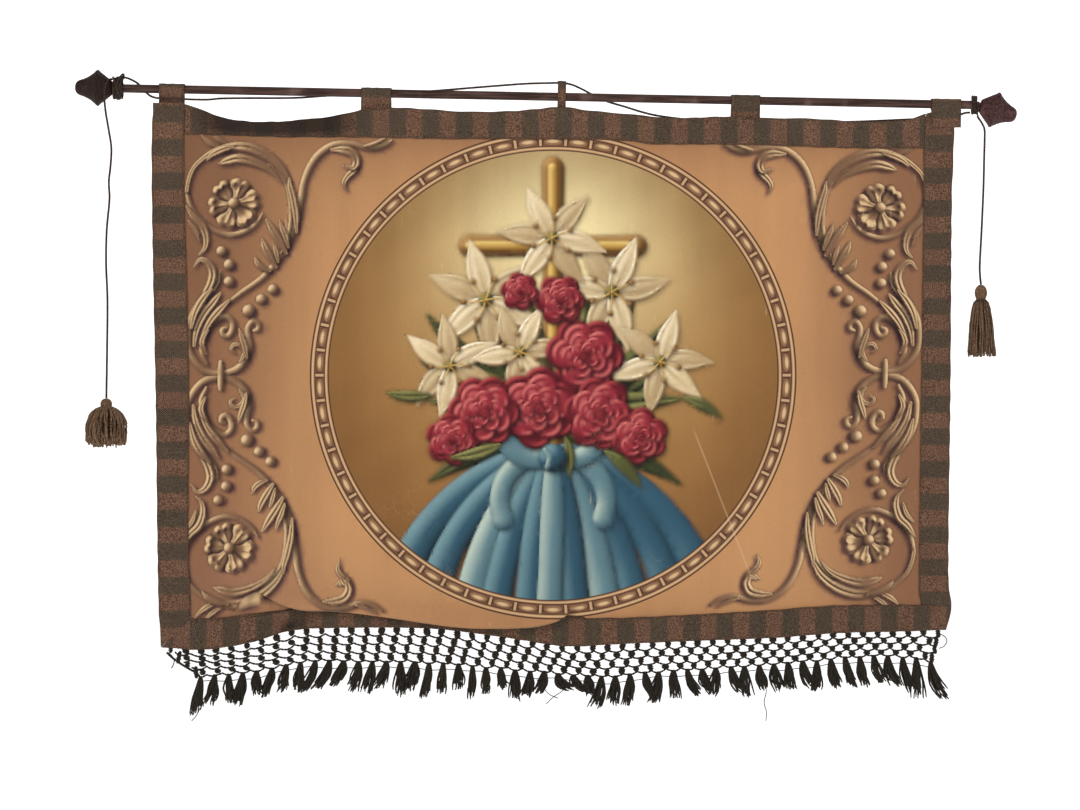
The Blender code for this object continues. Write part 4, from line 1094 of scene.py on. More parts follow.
def ring_colour(tree, ground):
    """The beaded ring round the medallion, laid over the ground by its place in the print."""
    place = node(tree, "ShaderNodeSeparateXYZ", {0: attribute(tree, "print_place").outputs["Vector"]})
    dx = sums(tree, "SUBTRACT", place.outputs[0], RING_MIDDLE[0])
    dy = sums(tree, "SUBTRACT", place.outputs[1], RING_MIDDLE[1])
    away = sums(tree, "SQRT", sums(tree, "MULTIPLY_ADD", dx, dx, sums(tree, "MULTIPLY", dy, dy)))
    turn = sums(tree, "MULTIPLY", sums(tree, "ARCTAN2", dy, dx), RING_BEADS / math.tau)
    step = sums(tree, "SUBTRACT", sums(tree, "FRACT", turn), 0.5)
    pitch = math.tau * RING_BEAD_LINE / RING_BEADS
    side = sums(tree, "ABSOLUTE", sums(tree, "MULTIPLY", step, pitch))
    out = sums(tree, "SUBTRACT", away, RING_BEAD_LINE)

    def band(low, high, soft=0.5):
        rise = ramp_up(tree, away, low - soft, low + soft)
        fall = ramp_up(tree, away, high + soft, high - soft)
        return sums(tree, "MULTIPLY", rise, fall)

    colour = blend_colour(tree, band(RING_INNER, RING_OUTER), ground, (66, 40, 32))
    colour = blend_colour(tree, band(229.4, 238.0), colour, (112, 76, 54))
    colour = blend_colour(tree, band(232.0, 236.2, 1.4), colour, (84, 54, 40))
    bead = sums(
        tree, "ADD", sums(tree, "POWER", sums(tree, "DIVIDE", side, 8.8), 2.0),
        sums(tree, "POWER", sums(tree, "ABSOLUTE", sums(tree, "DIVIDE", out, 3.3)), 2.0),
    )
    colour = blend_colour(tree, ramp_up(tree, bead, 1.25, 0.95), colour, (138, 102, 74))
    shine = sums(
        tree, "ADD", sums(tree, "POWER", sums(tree, "DIVIDE", side, 7.0), 2.0),
        sums(
            tree, "POWER",
            sums(tree, "ABSOLUTE", sums(tree, "DIVIDE", sums(tree, "SUBTRACT", out, 0.5), 2.1)), 2.0,
        ),
    )
    colour = blend_colour(tree, ramp_up(tree, shine, 1.2, 0.1), colour, (208, 174, 128))
    in_channel = band(229.6, 237.8)
    bar_shade = sums(tree, "MULTIPLY", ramp_up(tree, side, pitch / 2 - 3.0, pitch / 2 - 2.0), in_channel)
    colour = blend_colour(tree, bar_shade, colour, (78, 50, 38))
    bar = sums(tree, "MULTIPLY", ramp_up(tree, side, pitch / 2 - 1.7, pitch / 2 - 0.9), in_channel)
    colour = blend_colour(tree, bar, colour, (190, 154, 114))
    for low, high in ((225.6, 228.4), (239.0, 242.0)):
        colour = blend_colour(tree, band(low, high), colour, (168, 130, 94))
        colour = blend_colour(tree, band(low + 0.9, high - 0.7, 0.6), colour, (206, 168, 124))
    return colour


def print_material():
    """The painted cloth: its print from the mesh, then streaks, cracks, scuffs and weave."""
    made, tree, surface, place = new_material("printed_cloth", 0.8, 0.04)
    ground = attribute(tree, "print_colour").outputs["Color"]
    colour = ring_colour(tree, ground)
    streak = noise(tree, place, 30.0, 3.0, (1.0, 1.0, 0.08))
    colour = tinted(tree, colour, streak, 0.90, 1.10)
    colour = tinted(tree, colour, noise(tree, place, 260.0, 3.0), 0.93, 1.07)
    # fine lines where the print has cracked, and pale scuffs
    cells = node(tree, "ShaderNodeTexVoronoi", {"Vector": place, "Scale": 85.0}, feature="DISTANCE_TO_EDGE")
    cracks = cells.outputs[0]
    worn = ramp_up(tree, noise(tree, place, 9.0, 4.0), 0.56, 0.74)
    crack = sums(tree, "MULTIPLY", ramp_up(tree, cracks, 0.035, 0.0), worn)
    colour = blend_colour(tree, sums(tree, "MULTIPLY", crack, 0.16), colour, (216, 184, 146))
    scuff = ramp_up(tree, noise(tree, place, 55.0, 5.0, (1.0, 1.0, 0.25)), 0.70, 0.80)
    colour = blend_colour(tree, sums(tree, "MULTIPLY", scuff, 0.45), colour, (226, 200, 164))
    spots = ramp_up(tree, noise(tree, place, 120.0, 2.0), 0.76, 0.84)
    colour = blend_colour(tree, sums(tree, "MULTIPLY", spots, 0.5), colour, (96, 60, 40))
    where = node(tree, "ShaderNodeSeparateXYZ", {0: attribute(tree, "print_place").outputs["Vector"]})
    off_line = sums(
        tree, "ABSOLUTE",
        sums(tree, "SUBTRACT", sums(tree, "MULTIPLY_ADD", where.outputs[1], 0.39, 526.0), where.outputs[0]),
    )
    # one long pale scratch down the lower half
    scratch = ramp_up(tree, off_line, 1.4, 0.4)
    scratch = sums(tree, "MULTIPLY", scratch, ramp_up(tree, where.outputs[1], 424.0, 440.0))
    scratch = sums(tree, "MULTIPLY", scratch, ramp_up(tree, where.outputs[1], 596.0, 560.0))
    colour = blend_colour(tree, sums(tree, "MULTIPLY", scratch, 0.24), colour, (222, 190, 150))
    # the back of the cloth is plain and unprinted
    behind = ramp_up(tree, where.outputs[2], 0.2, -0.2)
    plain = blend_colour(tree, 0.0, (150, 124, 94), (0, 0, 0))
    plain = tinted(tree, plain, noise(tree, place, 24.0, 5.0), 0.8, 1.15)
    colour = blend_colour(tree, behind, colour, plain)
    weave = sums(tree, "ADD", stripes(tree, place, 500.0, "X", 0.4), stripes(tree, place, 500.0, "Z", 0.4))
    height = sums(tree, "MULTIPLY_ADD", noise(tree, place, 45.0, 4.0), 2.2, weave)
    finish_material(tree, surface, colour, height, 0.00035, 0.5)
    return made


STRIPE_PITCH = 47.8


def galloon_material():
    """Woven stripes across the tape: brown ribs, then dark chevron twill, with brown selvedges."""
    made, tree, surface, place = new_material("galloon", 0.95, 0.04)
    tape = attribute(tree, "tape_place").outputs["Vector"]
    parts = node(tree, "ShaderNodeSeparateXYZ", {0: tape})
    wander = sums(tree, "MULTIPLY", noise(tree, place, 60.0, 2.0), 4.0)
    length = sums(tree, "ADD", parts.outputs[0], sums(tree, "SUBTRACT", wander, 2.0))
    turn = sums(tree, "FRACT", sums(tree, "DIVIDE", length, STRIPE_PITCH))
    middle = sums(tree, "ABSOLUTE", sums(tree, "SUBTRACT", turn, 0.5))
    thread = noise(tree, place, 900.0, 2.0)
    frayed = sums(tree, "MULTIPLY_ADD", sums(tree, "SUBTRACT", thread, 0.5), 0.08, middle)
    dark = ramp_up(tree, frayed, 0.21, 0.28)
    fleck = noise(tree, place, 620.0, 3.0)
    brown = blend_colour(tree, ramp_up(tree, fleck, 0.34, 0.66), (70, 48, 37), (136, 101, 79))
    across = parts.outputs[1]
    slant = sums(tree, "PINGPONG", across, BAND_WIDTH / 4)
    slanted = sums(tree, "ADD", slant, parts.outputs[0])
    twill = sums(tree, "SINE", sums(tree, "MULTIPLY", slanted, math.tau / 3.1))
    twill = sums(tree, "MULTIPLY_ADD", sums(tree, "SUBTRACT", fleck, 0.5), 5.0, twill)
    green = blend_colour(tree, ramp_up(tree, twill, -0.8, 2.2), (56, 45, 36), (124, 104, 83))
    colour = blend_colour(tree, dark, brown, green)
    rib = sums(tree, "SINE", sums(tree, "MULTIPLY", parts.outputs[0], math.tau / 1.9))
    colour = tinted(tree, colour, rib, 0.96, 1.05)
    edge = ramp_up(tree, parts.outputs[2], 4.2, 2.8)
    selvedge = blend_colour(tree, ramp_up(tree, fleck, 0.35, 0.65), (56, 40, 31), (110, 82, 62))
    colour = blend_colour(tree, sums(tree, "MULTIPLY", edge, 0.75), colour, selvedge)
    colour = tinted(tree, colour, thread, 0.72, 1.28)
    colour = tinted(tree, colour, noise(tree, place, 14.0, 3.0), 0.80, 1.20)
    # painted shade: the top band is darkened where it leans forward between the first two tabs and faces down
    painted_lean_shade = attribute(tree, "painted_lean_shade").outputs["Fac"]
    colour = blend_colour(tree, painted_lean_shade, colour, (36, 25, 19))
    loops = sums(tree, "SINE", sums(tree, "MULTIPLY", across, math.tau / 1.7))
    height = sums(tree, "ADD", sums(tree, "MULTIPLY", loops, rib), sums(tree, "MULTIPLY", twill, 0.7))
    height = sums(tree, "MULTIPLY_ADD", thread, 2.0, height)
    finish_material(tree, surface, colour, height, 0.0006, 0.75)
    return made


def yarn_material(name, dark, middle, light, scale=700.0):
    """Dull yarn in three tones."""
    made, tree, surface, place = new_material(name, 0.95, 0.04)
    grain = noise(tree, place, scale, 3.0)
    colour = blend_colour(tree, ramp_up(tree, grain, 0.36, 0.56), dark, middle)
    colour = blend_colour(tree, ramp_up(tree, grain, 0.58, 0.78), colour, light)
    colour = tinted(tree, colour, noise(tree, place, 35.0, 3.0), 0.75, 1.25)
    finish_material(tree, surface, colour, noise(tree, place, 1600.0, 2.0), 0.0004, 0.6)
    return made


def wood_material(name, dark, middle, light, lengthwise="X"):
    """Old varnished wood with its grain along the rod, worn lighter in places."""
    made, tree, surface, place = new_material(name, 0.42)
    surface.inputs["Specular IOR Level"].default_value = 0.1
    stretch = (0.05, 1.0, 1.0) if lengthwise == "X" else (1.0, 1.0, 1.0)
    grain = noise(tree, place, 330.0, 5.0, stretch)
    colour = blend_colour(tree, ramp_up(tree, grain, 0.35, 0.68), dark, middle)
    worn = ramp_up(tree, noise(tree, place, 26.0, 5.0), 0.55, 0.78)
    colour = blend_colour(tree, sums(tree, "MULTIPLY", worn, 0.5), colour, light)
    pits = ramp_up(tree, noise(tree, place, 480.0, 2.0), 0.70, 0.80)
    colour = blend_colour(tree, sums(tree, "MULTIPLY", pits, 0.35), colour, light)
    tree.links.new(sums(tree, "MULTIPLY_ADD", grain, 0.30, 0.45), surface.inputs["Roughness"])
    finish_material(tree, surface, colour, grain, 0.0003, 0.5)
    return made


# Meshes


def mesh_piece(name, verts, faces, material, nodes=(), smooth=True, attributes=()):
    """A piece of the object from places in millimetres, which stands for the named solids."""
    mesh = bpy.data.meshes.new(name)
    mesh.from_pydata((np.asarray(verts, float) * MM).tolist(), [], faces)
    for key, kind, field, values in attributes:
        layer = mesh.attributes.new(key, kind, "POINT")
        layer.data.foreach_set(field, np.asarray(values, np.float32).ravel())
    mesh.validate()
    mesh.update()
    if smooth:
        mesh.polygons.foreach_set("use_smooth", [True] * len(mesh.polygons))
    mesh.materials.append(material)
    made = bpy.data.objects.new(name, mesh)
    bpy.context.scene.collection.objects.link(made)
    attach(made, "root")
    if nodes:
        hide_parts(*nodes)
    return made


class Pile:
    """Verts and faces of one mesh, gathered from many small shapes."""

    def __init__(self):
        self.verts = []
        self.faces = []
        self.count = 0

    def add(self, verts, faces):
        self.verts.append(np.asarray(verts, float))
        self.faces += [tuple(k + self.count for k in face) for face in faces]
        self.count += len(verts)

    def places(self):
        return np.vstack(self.verts)


def ring_faces(rings, sides, closed_ends=True):
    """The faces of a closed tube made of rings of points."""
    faces = []
    for r in range(rings - 1):
        for s in range(sides):
            a, b = r * sides + s, r * sides + (s + 1) % sides
            faces.append((a, b, b + sides, a + sides))
    if closed_ends:
        faces.append(tuple(reversed(range(sides))))
        faces.append(tuple(range((rings - 1) * sides, rings * sides)))
    return faces


def frames_along(path):
    """A side and an up direction at each point of a path, with no twist along it."""
    path = np.asarray(path, float)
    ahead = np.gradient(path, axis=0)
    ahead /= np.maximum(np.linalg.norm(ahead, axis=1, keepdims=True), 1e-9)
    start = np.array([0.0, 1.0, 0.0]) if abs(ahead[0][1]) < 0.9 else np.array([1.0, 0.0, 0.0])
    side = np.cross(ahead[0], start)
    sides = []
    for direction in ahead:
        side = side - direction * side.dot(direction)
        side /= max(np.linalg.norm(side), 1e-9)
        sides.append(side)
    sides = np.array(sides)
    return sides, np.cross(ahead, sides)


def strand(pile, path, radii, sides=5, plies=0, turn=0.0):
    """A tube of yarn along a path. With plies, its section is that of so many twisted threads."""
    path = np.asarray(path, float)
    radii = np.broadcast_to(np.asarray(radii, float), (len(path),))
    side, up = frames_along(path)
    angle = np.arange(sides) * math.tau / sides
    reach = np.concatenate([[0], np.cumsum(np.linalg.norm(np.diff(path, axis=0), axis=1))])
    rings = []
    for k in range(len(path)):
        round_it = angle + (turn * reach[k] if plies else 0.0)
        size = np.full(sides, radii[k])
        if plies:
            size *= 0.72 + 0.30 * np.abs(np.cos(angle * plies / 2))
        across, above = size * np.cos(round_it), size * np.sin(round_it)
        rings.append(path[k] + np.outer(across, side[k]) + np.outer(above, up[k]))
    pile.add(np.vstack(rings), ring_faces(len(path), sides))


def route_points(route, gap):
    """Even points, in millimetres, on a smooth curve through a route's own points."""
    knots = np.array(route, float)
    fine = []
    for i in range(len(knots) - 1):
        before, after = knots[max(i - 1, 0)], knots[min(i + 2, len(knots) - 1)]
        start, end = knots[i], knots[i + 1]
        span = np.linalg.norm(end - start)
        lead_in = (end - before) * span / max(np.linalg.norm(end - before), span)
        lead_out = (after - start) * span / max(np.linalg.norm(after - start), span)
        t = np.linspace(0, 1, 24, endpoint=False)[:, None]
        fine.append(hermite(t, start, end, lead_in, lead_out))
    fine = np.vstack([*fine, knots[-1:]])
    reach = np.concatenate([[0], np.cumsum(np.linalg.norm(np.diff(fine, axis=0), axis=1))])
    count = max(int(reach[-1] / gap), 2)
    at = np.linspace(0, reach[-1], count + 1)
    return np.stack([np.interp(at, reach, fine[:, k]) for k in range(3)], -1), reach[-1]


def on_rod(places):
    """From places along the rod's own axis to the part's frame."""
    places = np.asarray(places, float).copy()
    x, z = places[:, 0].copy(), places[:, 2].copy()
    places[:, 0] = x * math.cos(ROD_SLOPE) + z * math.sin(ROD_SLOPE)
    places[:, 2] = -x * math.sin(ROD_SLOPE) + z * math.cos(ROD_SLOPE)
    return places


def thick_lattice(points, normals, half):
    """Verts and faces of a closed sheet round a lattice of points."""
    rows, columns = points.shape[:2]
    front = (points + normals * half[..., None]).reshape(-1, 3)
    back = (points - normals * half[..., None]).reshape(-1, 3)
    at = np.arange(rows * columns).reshape(rows, columns)
    quads = np.stack([at[:-1, :-1], at[1:, :-1], at[1:, 1:], at[:-1, 1:]], -1).reshape(-1, 4)
    count = rows * columns
    faces = quads.tolist() + (quads[:, ::-1] + count).tolist()
    rim = [*at[:, 0], *at[-1, 1:], *at[-2::-1, -1], *at[0, -2:0:-1]]
    for a, b in zip(rim, rim[1:] + rim[:1]):
        faces.append((int(a), int(a) + count, int(b) + count, int(b)))
    return np.vstack([front, back]), faces


BAND_EDGE_ROWS = 20
BAND_STEP = 2.4
LEVEL_BAND = 1110
SIDE_BAND = 720
# The galloons' stripes: their spacing, and the middle of one brown stripe
STRIPES = {
    "band_top": (48.0, -213.4), "band_bottom": (47.7, -216.5),
    "band_left": (48.8, -25.4), "band_right": (47.3, -20.2),
}


def band_piece(name, material):
    """One galloon of the border, its tape coordinates kept at each point."""
    level = name in ("band_top", "band_bottom")
    steps = int((LEVEL_BAND if level else SIDE_BAND) / BAND_STEP)
    if name == "band_top":
        u, v = np.meshgrid(np.linspace(1.0, 2.0, steps), np.linspace(0.0, 1.0, BAND_EDGE_ROWS))
        off = v * BAND_WIDTH
    elif name == "band_bottom":
        share, down = np.meshgrid(np.linspace(0, 1, steps), np.linspace(0, 1, BAND_EDGE_ROWS))
        start = 1.0 - down
        u, v = start + (3.0 - start) * share, 2.0 + down
        off = down * BAND_WIDTH
    else:
        across = np.linspace(0.0, 1 - BUTT_GAP, BAND_EDGE_ROWS)
        share = np.linspace(0, 1, steps)
        if name == "band_left":
            u, s = np.meshgrid(across, share)
            v = s * (2 - BUTT_GAP / 8 + (1 - u) * (1 - BUTT_GAP / 4))
            off = u * BAND_WIDTH
        else:
            u, s = np.meshgrid(2 + BUTT_GAP + across, share)
            v = s * (2 - 0.0007 + 0.05 * np.clip(u - 2.6, 0, 0.4))
            off = (u - 2) * BAND_WIDTH
    points = sheet_points(u, v)
    normals = lattice_normals(points)
    x, z = points[..., 0], points[..., 2]
    lengthways = x if level else z
    edge = np.minimum(off, BAND_WIDTH - off)
    ripple = 0.22 * np.sin(lengthways / 3.1) * np.exp(-edge / 5.0)
    roll = 0.25 * np.exp(-(((edge - 2.0) / 1.6) ** 2))
    lift = BAND_LIFT + creases(x, z) + ripple
    wobble = 0.35 * np.sin(lengthways / 6.3 + 2 * np.sin(lengthways / 37.0)) * np.exp(-edge / 2.5)
    points = points + normals * lift[..., None]
    points[..., 2 if level else 0] += wobble
    half = np.full(off.shape, BAND_THICK / 2) + roll - 0.35 * np.exp(-((edge / 0.9) ** 2))
    verts, faces = thick_lattice(points, normals, half)
    pitch, middle = STRIPES[name]
    tape = np.stack([(lengthways - middle) * STRIPE_PITCH / pitch, off, edge], -1).reshape(-1, 3)
    # painted shade on the top band where it leans forward between the first two tabs, darkest towards its top
    # edge
    leaning = np.clip((x - LEAN_FROM) / 40, 0, 1) * np.clip((LEAN_TO + 20 - x) / 60, 0, 1)
    painted_lean_shade = 0.86 * leaning * np.clip((1.25 - v) * 1.6, 0, 1) if name == "band_top" else np.zeros(x.shape)
    painted_lean_shade = np.tile(painted_lean_shade.reshape(-1), 2)
    return mesh_piece(
        name + "_galloon", verts, faces, material, (name,),
        attributes=(
            ("tape_place", "FLOAT_VECTOR", "vector", np.vstack([tape, tape])),
            ("painted_lean_shade", "FLOAT", "value", painted_lean_shade),
        ),
    )


def loop_line(radius, rise, back_foot, front_foot, steps):
    """The line of a tab's loop over the rod, between the feet of its legs."""
    back_angle = math.atan2(back_foot[1], back_foot[0]) + math.acos(radius / math.hypot(*back_foot))
    front_angle = math.atan2(front_foot[1], front_foot[0]) - math.acos(radius / math.hypot(*front_foot))
    front_angle += math.tau
    points = []
    for angle in np.linspace(back_angle, front_angle, steps):
        up = rise * (0.5 + 0.5 * math.tanh(math.sin(angle) * 5))
        points.append((radius * math.cos(angle), radius * math.sin(angle) + up))
    return points


TAB_STEPS = 30
TAB_ROWS = 16


def line_through(corners, gap):
    """Even points along straight lines through corners, the corners kept."""
    points = []
    for (y0, z0), (y1, z1) in zip(corners, corners[1:]):
        count = max(int(math.hypot(y1 - y0, z1 - z0) / gap), 1)
        points += [(y0 + (y1 - y0) * k / count, z0 + (z1 - z0) * k / count) for k in range(count)]
    return points + [corners[-1]]


def tab_piece(row, material):
    """A loop of galloon over the rod, its legs meeting in one tail, gathered a little round the rod."""
    name, middle, width, rise, meet, end, tail_y, thick = row
    bore = ROD_RADIUS + LOOP_GAP
    back_foot = (tail_y + thick / 2, -meet)
    front_foot = (tail_y - thick / 2, -meet)
    outer = loop_line(bore + thick, rise, back_foot, front_foot, TAB_STEPS)
    outer += line_through((front_foot, (front_foot[0], -end)), 2.0)
    outer += line_through(((back_foot[0], -end), back_foot), 2.0)
    crotch = (tail_y, -meet + thick)
    inner = [*loop_line(bore, rise, crotch, crotch, TAB_STEPS), crotch]
    pile, tape = Pile(), []
    for line, outward in ((outer, True), (inner, False)):
        count = len(line)
        xs = np.linspace(-width / 2, width / 2, TAB_ROWS)
        verts = []
        for k, (y, z) in enumerate(line):
            for x in xs:
                edge = width / 2 - abs(x)
                gather = 1 - (0.05 * math.exp(-((z / 6.0) ** 2)) if abs(z) < 14 else 0)
                pucker = 0.25 * math.sin(x / 2.3 + z / 9.0) if outward and 0 < edge else 0.0
                away = math.hypot(y, z)
                push = pucker * 0.8 / max(away, 1)
                verts.append((middle + x * gather, y * (1 + push), z * (1 + push)))
                tape.append((z + middle, x + width / 2, edge))
        faces = []
        for k in range(count):
            a, b = k * TAB_ROWS, ((k + 1) % count) * TAB_ROWS
            for s in range(TAB_ROWS - 1):
                face = (a + s, a + s + 1, b + s + 1, b + s)
                faces.append(face if outward else face[::-1])
        pile.add(verts, faces)
    sizes = (len(outer), len(inner))
    made = mesh_piece(
        name + "_cloth", on_rod(pile.places()), pile.faces, material, (name,),
        attributes=(("tape_place", "FLOAT_VECTOR", "vector", tape),),
    )
    bm = bmesh.new()
    bm.from_mesh(made.data)
    bm.verts.ensure_lookup_table()
    start = 0
    rims = [[], []]
    for count in sizes:
        for side, column in ((0, 0), (1, TAB_ROWS - 1)):
            ring = [bm.verts[start + k * TAB_ROWS + column] for k in range(count)]
            rims[side] += [bm.edges.get((a, b)) for a, b in zip(ring, ring[1:] + ring[:1])]
        start += count * TAB_ROWS
    for rim in rims:
        bmesh.ops.triangle_fill(bm, edges=[edge for edge in rim if edge], use_beauty=True)
    bmesh.ops.recalc_face_normals(bm, faces=bm.faces[:])
    bm.to_mesh(made.data)
    bm.free()
    return made


def finial_piece(name, place, material):
    """A turned end, smooth between the rows of its outline, with small cut grooves."""
    rows = []
    for (h0, r0), (h1, r1) in zip(FINIAL_OUTLINE, FINIAL_OUTLINE[1:]):
        count = max(int(math.hypot(h1 - h0, r1 - r0) / 0.9), 1)
        rows += [(h0 + (h1 - h0) * k / count, r0 + (r1 - r0) * k / count) for k in range(count)]
    rows.append(FINIAL_OUTLINE[-1])
    heights = np.array([row[0] for row in rows])
    radii = np.array([row[1] for row in rows])
    inner = radii.copy()
    for _ in range(2):
        inner[1:-1] = (radii[:-2] + 2 * radii[1:-1] + radii[2:]) / 4
        radii = np.where((radii > 24.5) | (heights <= 0), radii, inner)
    for at, depth in FINIAL_GROOVES:
        radii = radii - depth * np.exp(-(((heights - at) / 0.7) ** 2)) * (heights > 0.5)
    radii = np.maximum(radii, 0.02)
    angle = np.arange(FINIAL_SIDES) * math.tau / FINIAL_SIDES
    wobble = 1 + 0.004 * np.sin(3 * angle) + 0.003 * np.sin(7 * angle + 1)
    verts = [
        (radius * w * math.cos(a), radius * w * math.sin(a), height)
        for height, radius in zip(heights, radii) for a, w in zip(angle, wobble)
    ]
    matrix = np.array(place)
    verts = np.array(verts) @ matrix[:3, :3].T + matrix[:3, 3]
    faces = ring_faces(len(rows), FINIAL_SIDES)
    return mesh_piece(name + "_turned", verts, faces, material, (name,))


# Pieces


def panel_piece(material):
    """The printed cloth."""
    verts, faces, colours, places = panel_mesh()
    rgba = np.concatenate([colours, np.ones((len(colours), 1))], -1)
    return mesh_piece(
        "panel_print", verts, faces, material, ("panel",),
        attributes=(
            ("print_colour", "FLOAT_COLOR", "color", rgba),
            ("print_place", "FLOAT_VECTOR", "vector", places),
        ),
    )


ROD_RING_STEP = 3.5
ROD_RING_SIDES = 40
ROD_END_RINGS = (0.0, 0.5, 1.2)


def rod_piece(material):
    """The bar, very slightly uneven as a hand-planed one is, its ends a little rounded."""
    xs = np.arange(ROD_LEFT, ROD_RIGHT, ROD_RING_STEP)
    ends = np.array(ROD_END_RINGS)
    xs = np.concatenate([ROD_LEFT + ends, xs[1:-1], ROD_RIGHT - ends[::-1]])
    angle = np.arange(ROD_RING_SIDES) * math.tau / ROD_RING_SIDES
    verts = []
    for x in xs:
        end = min(x - ROD_LEFT, ROD_RIGHT - x)
        shrink = 0.6 * math.exp(-end / 0.6)
        uneven = 0.07 * np.sin(2 * angle + x / 170) + 0.05 * np.sin(5 * angle + x / 61)
        uneven += 0.04 * np.sin(x / 23 + 3 * angle)
        radius = ROD_RADIUS - 0.12 - shrink + uneven
        verts += [(x, r * math.cos(a), r * math.sin(a)) for a, r in zip(angle, radius)]
    faces = ring_faces(len(xs), ROD_RING_SIDES)
    return mesh_piece("rod_bar", on_rod(verts), faces, material, ("rod",))


FINIAL_SIDES = 64
FINIAL_GROOVES = ((3.0, 0.4), (17.6, 0.3), (26.6, 0.3), (43.0, 0.35))
# The turned end's worn outline from nose to spigot, (distance from the neck, radius), fuller between
# its ridges than the solid's straight cuts
FINIAL_OUTLINE = (
    (54.7, 0.0), (54.4, 4.2), (53.2, 7.2), (50.6, 9.8), (46.5, 11.6), (41.5, 13.2), (36.5, 15.4),
    (31.5, 18.6), (26.5, 22.6), (23.4, 25.6), (22.0, 26.4), (20.6, 25.8), (16.5, 22.0), (11.0, 17.8),
    (6.0, 13.8), (2.5, 11.2), (0.6, 9.2), (0.0, 8.5), (0.0, 4.0), (-6.5, 4.0), (-6.5, 0.0),
)


def finial_pieces(left_wood, right_wood):
    """The two turned ends, the right one drooping."""
    lean = Matrix.Rotation(ROD_SLOPE, 4, "Y")
    left = lean @ Matrix.Translation((FINIAL_LEFT_NECK, 0, 0)) @ Matrix.Rotation(-math.pi / 2, 4, "Y")
    finial_piece("finial_left", left, left_wood)
    neck_x, neck_z = FINIAL_RIGHT_NECK
    droop = Matrix.Rotation(math.pi / 2 + FINIAL_RIGHT_DROOP, 4, "Y")
    right = Matrix.Translation((neck_x, 0, neck_z)) @ droop
    finial_piece("finial_right", right, right_wood)


# Cord bindings: name, from x, to x, outer radius, turns
WRAPS = (
    ("wrap_left", -626.4, -612.0, 17.8, 4),
    ("wrap_right", 617.7, 628.2, 14.5, 3),
)
WRAP_BORE = 6.8
WRAP_CORD = 1.55
WRAP_LAYER = 2.6
TURN_POINTS = 40
PLY_TURN = math.tau / 10.5
# Sides, threads and twist of a section: of the bindings' cord, and of the big tassels' yarn
ROPE = (9, 3, PLY_TURN)
TASSEL_YARN = (5, 2, math.tau / 6)
CORD_SIDES = 15
CORD_PLIES = 3
CORD_RADIUS = 1.72


def wrap_pieces(material):
    """Cord wound round the rod in layers, the outer turns uneven, with one end sticking out."""
    chance = random.Random(21)
    for name, start, end, radius, turns in WRAPS:
        pile = Pile()
        level = WRAP_BORE + WRAP_CORD
        outer = radius - 1.5
        layers = [level]
        while layers[-1] + 2.7 < outer:
            layers.append(layers[-1] + WRAP_LAYER)
        layers[-1] = outer
        for n, ring in enumerate(layers):
            spin = turns + (0 if n == len(layers) - 1 else 0.6)
            count = int(spin * TURN_POINTS)
            first, last = (start + 1.5, end - 1.5) if n % 2 else (end - 1.5, start + 1.5)
            begin = chance.uniform(0, math.tau)
            path = []
            for k in range(count + 1):
                share = k / count
                angle = begin + share * spin * math.tau
                slack = 0.7 * math.sin(share * spin * 2.1 + n) + 0.5 * math.sin(angle * 1.7) - 0.6
                away = ring + (min(slack, 0.0) * 1.2 if n == len(layers) - 1 else 0)
                x = first + (last - first) * share + (0.9 * math.sin(angle + n) if 0.1 < share < 0.9 else 0)
                path.append((x, away * math.sin(angle), away * math.cos(angle)))
            strand(pile, path, WRAP_CORD, *ROPE)
        if name == "wrap_left":
            path = [(-614.0, -9.0, 13.0), (-612.6, -7.0, 15.4), (-611.2, -5.0, 17.6), (-610.0, -4.6, 19.3)]
            thread(pile, path, 0.8, 1.3, *ROPE)
            path = [
                (-624.5, -13.0, -9.0), (-621.5, -17.2, -2.0), (-618.0, -17.6, 6.0), (-614.8, -13.5, 14.6),
                (-612.4, -6.0, 19.6), (-611.6, 2.0, 19.8), (-613.0, 9.0, 16.4), (-616.0, 14.0, 11.0),
            ]
            thread(pile, path, 0.8, 1.5, *ROPE)
            path = [
                (-625.6, -9.0, 15.2), (-622.6, -16.0, 9.4), (-619.4, -18.4, 0.5), (-616.4, -15.6, -9.0),
                (-614.6, -9.0, -15.6),
            ]
            thread(pile, path, 0.8, 1.5, *ROPE)
        else:
            path = [(621.0, -12.0, -5.0), (623.0, -12.5, -9.0), (625.4, -10.5, -12.6), (626.4, -8.0, -14.8)]
            thread(pile, path, 0.8, 1.3, *ROPE)
        mesh_piece(name + "_cord", on_rod(pile.places()), pile.faces, material, (name,))


def thread(pile, route, gap, radius, sides, plies=0, turn=0.0):
    """A tube of yarn along a smooth route through a few points."""
    fine, _ = route_points(route, gap)
    strand(pile, fine, radius, sides, plies, turn)


def cord_pieces(material):
    """The hanging cord and the cords of the two big tassels."""
    for name, route in (
        ("hanging_cord", HANGING_CORD),
        ("tassel_cord_left", TASSEL_CORD_LEFT),
        ("tassel_cord_right", TASSEL_CORD_RIGHT),
    ):
        fine, length = route_points(route, 1.1)
        pile = Pile()
        strand(pile, fine, CORD_RADIUS, CORD_SIDES, CORD_PLIES, PLY_TURN)
        piece = mesh_piece(name + "_twist", pile.places(), pile.faces, material, (name,))


# Big tassels: name, head's middle, radius and height, then (drop, distance) of the outermost yarn,
# number of yarns, how uneven their lengths are, yarn's radius, and how much each wanders
BIG_TASSELS = (
    (
        "tassel_left", (-635.8, -3, -445.7), 8.35, 15.6,
        ((3, 4.5), (6, 12.0), (10, 19.5), (18, 25.5), (30, 29.0), (43, 29.5), (54, 27.0)),
        190, 0.13, 1.25, 2.6,
    ),
    (
        "tassel_right", (631.8, -1, -284.6), 8.85, 23.0,
        ((7, 4.5), (11, 9.0), (17, 12.0), (35, 15.6), (55, 18.0), (74, 19.6), (86, 20.0)),
        130, 0.09, 1.1, 1.1,
    ),
)

HEAD_RINGS = 13
HEAD_SIDES = 24
HEAD_WINDINGS = 18
NECK_WINDINGS = 4


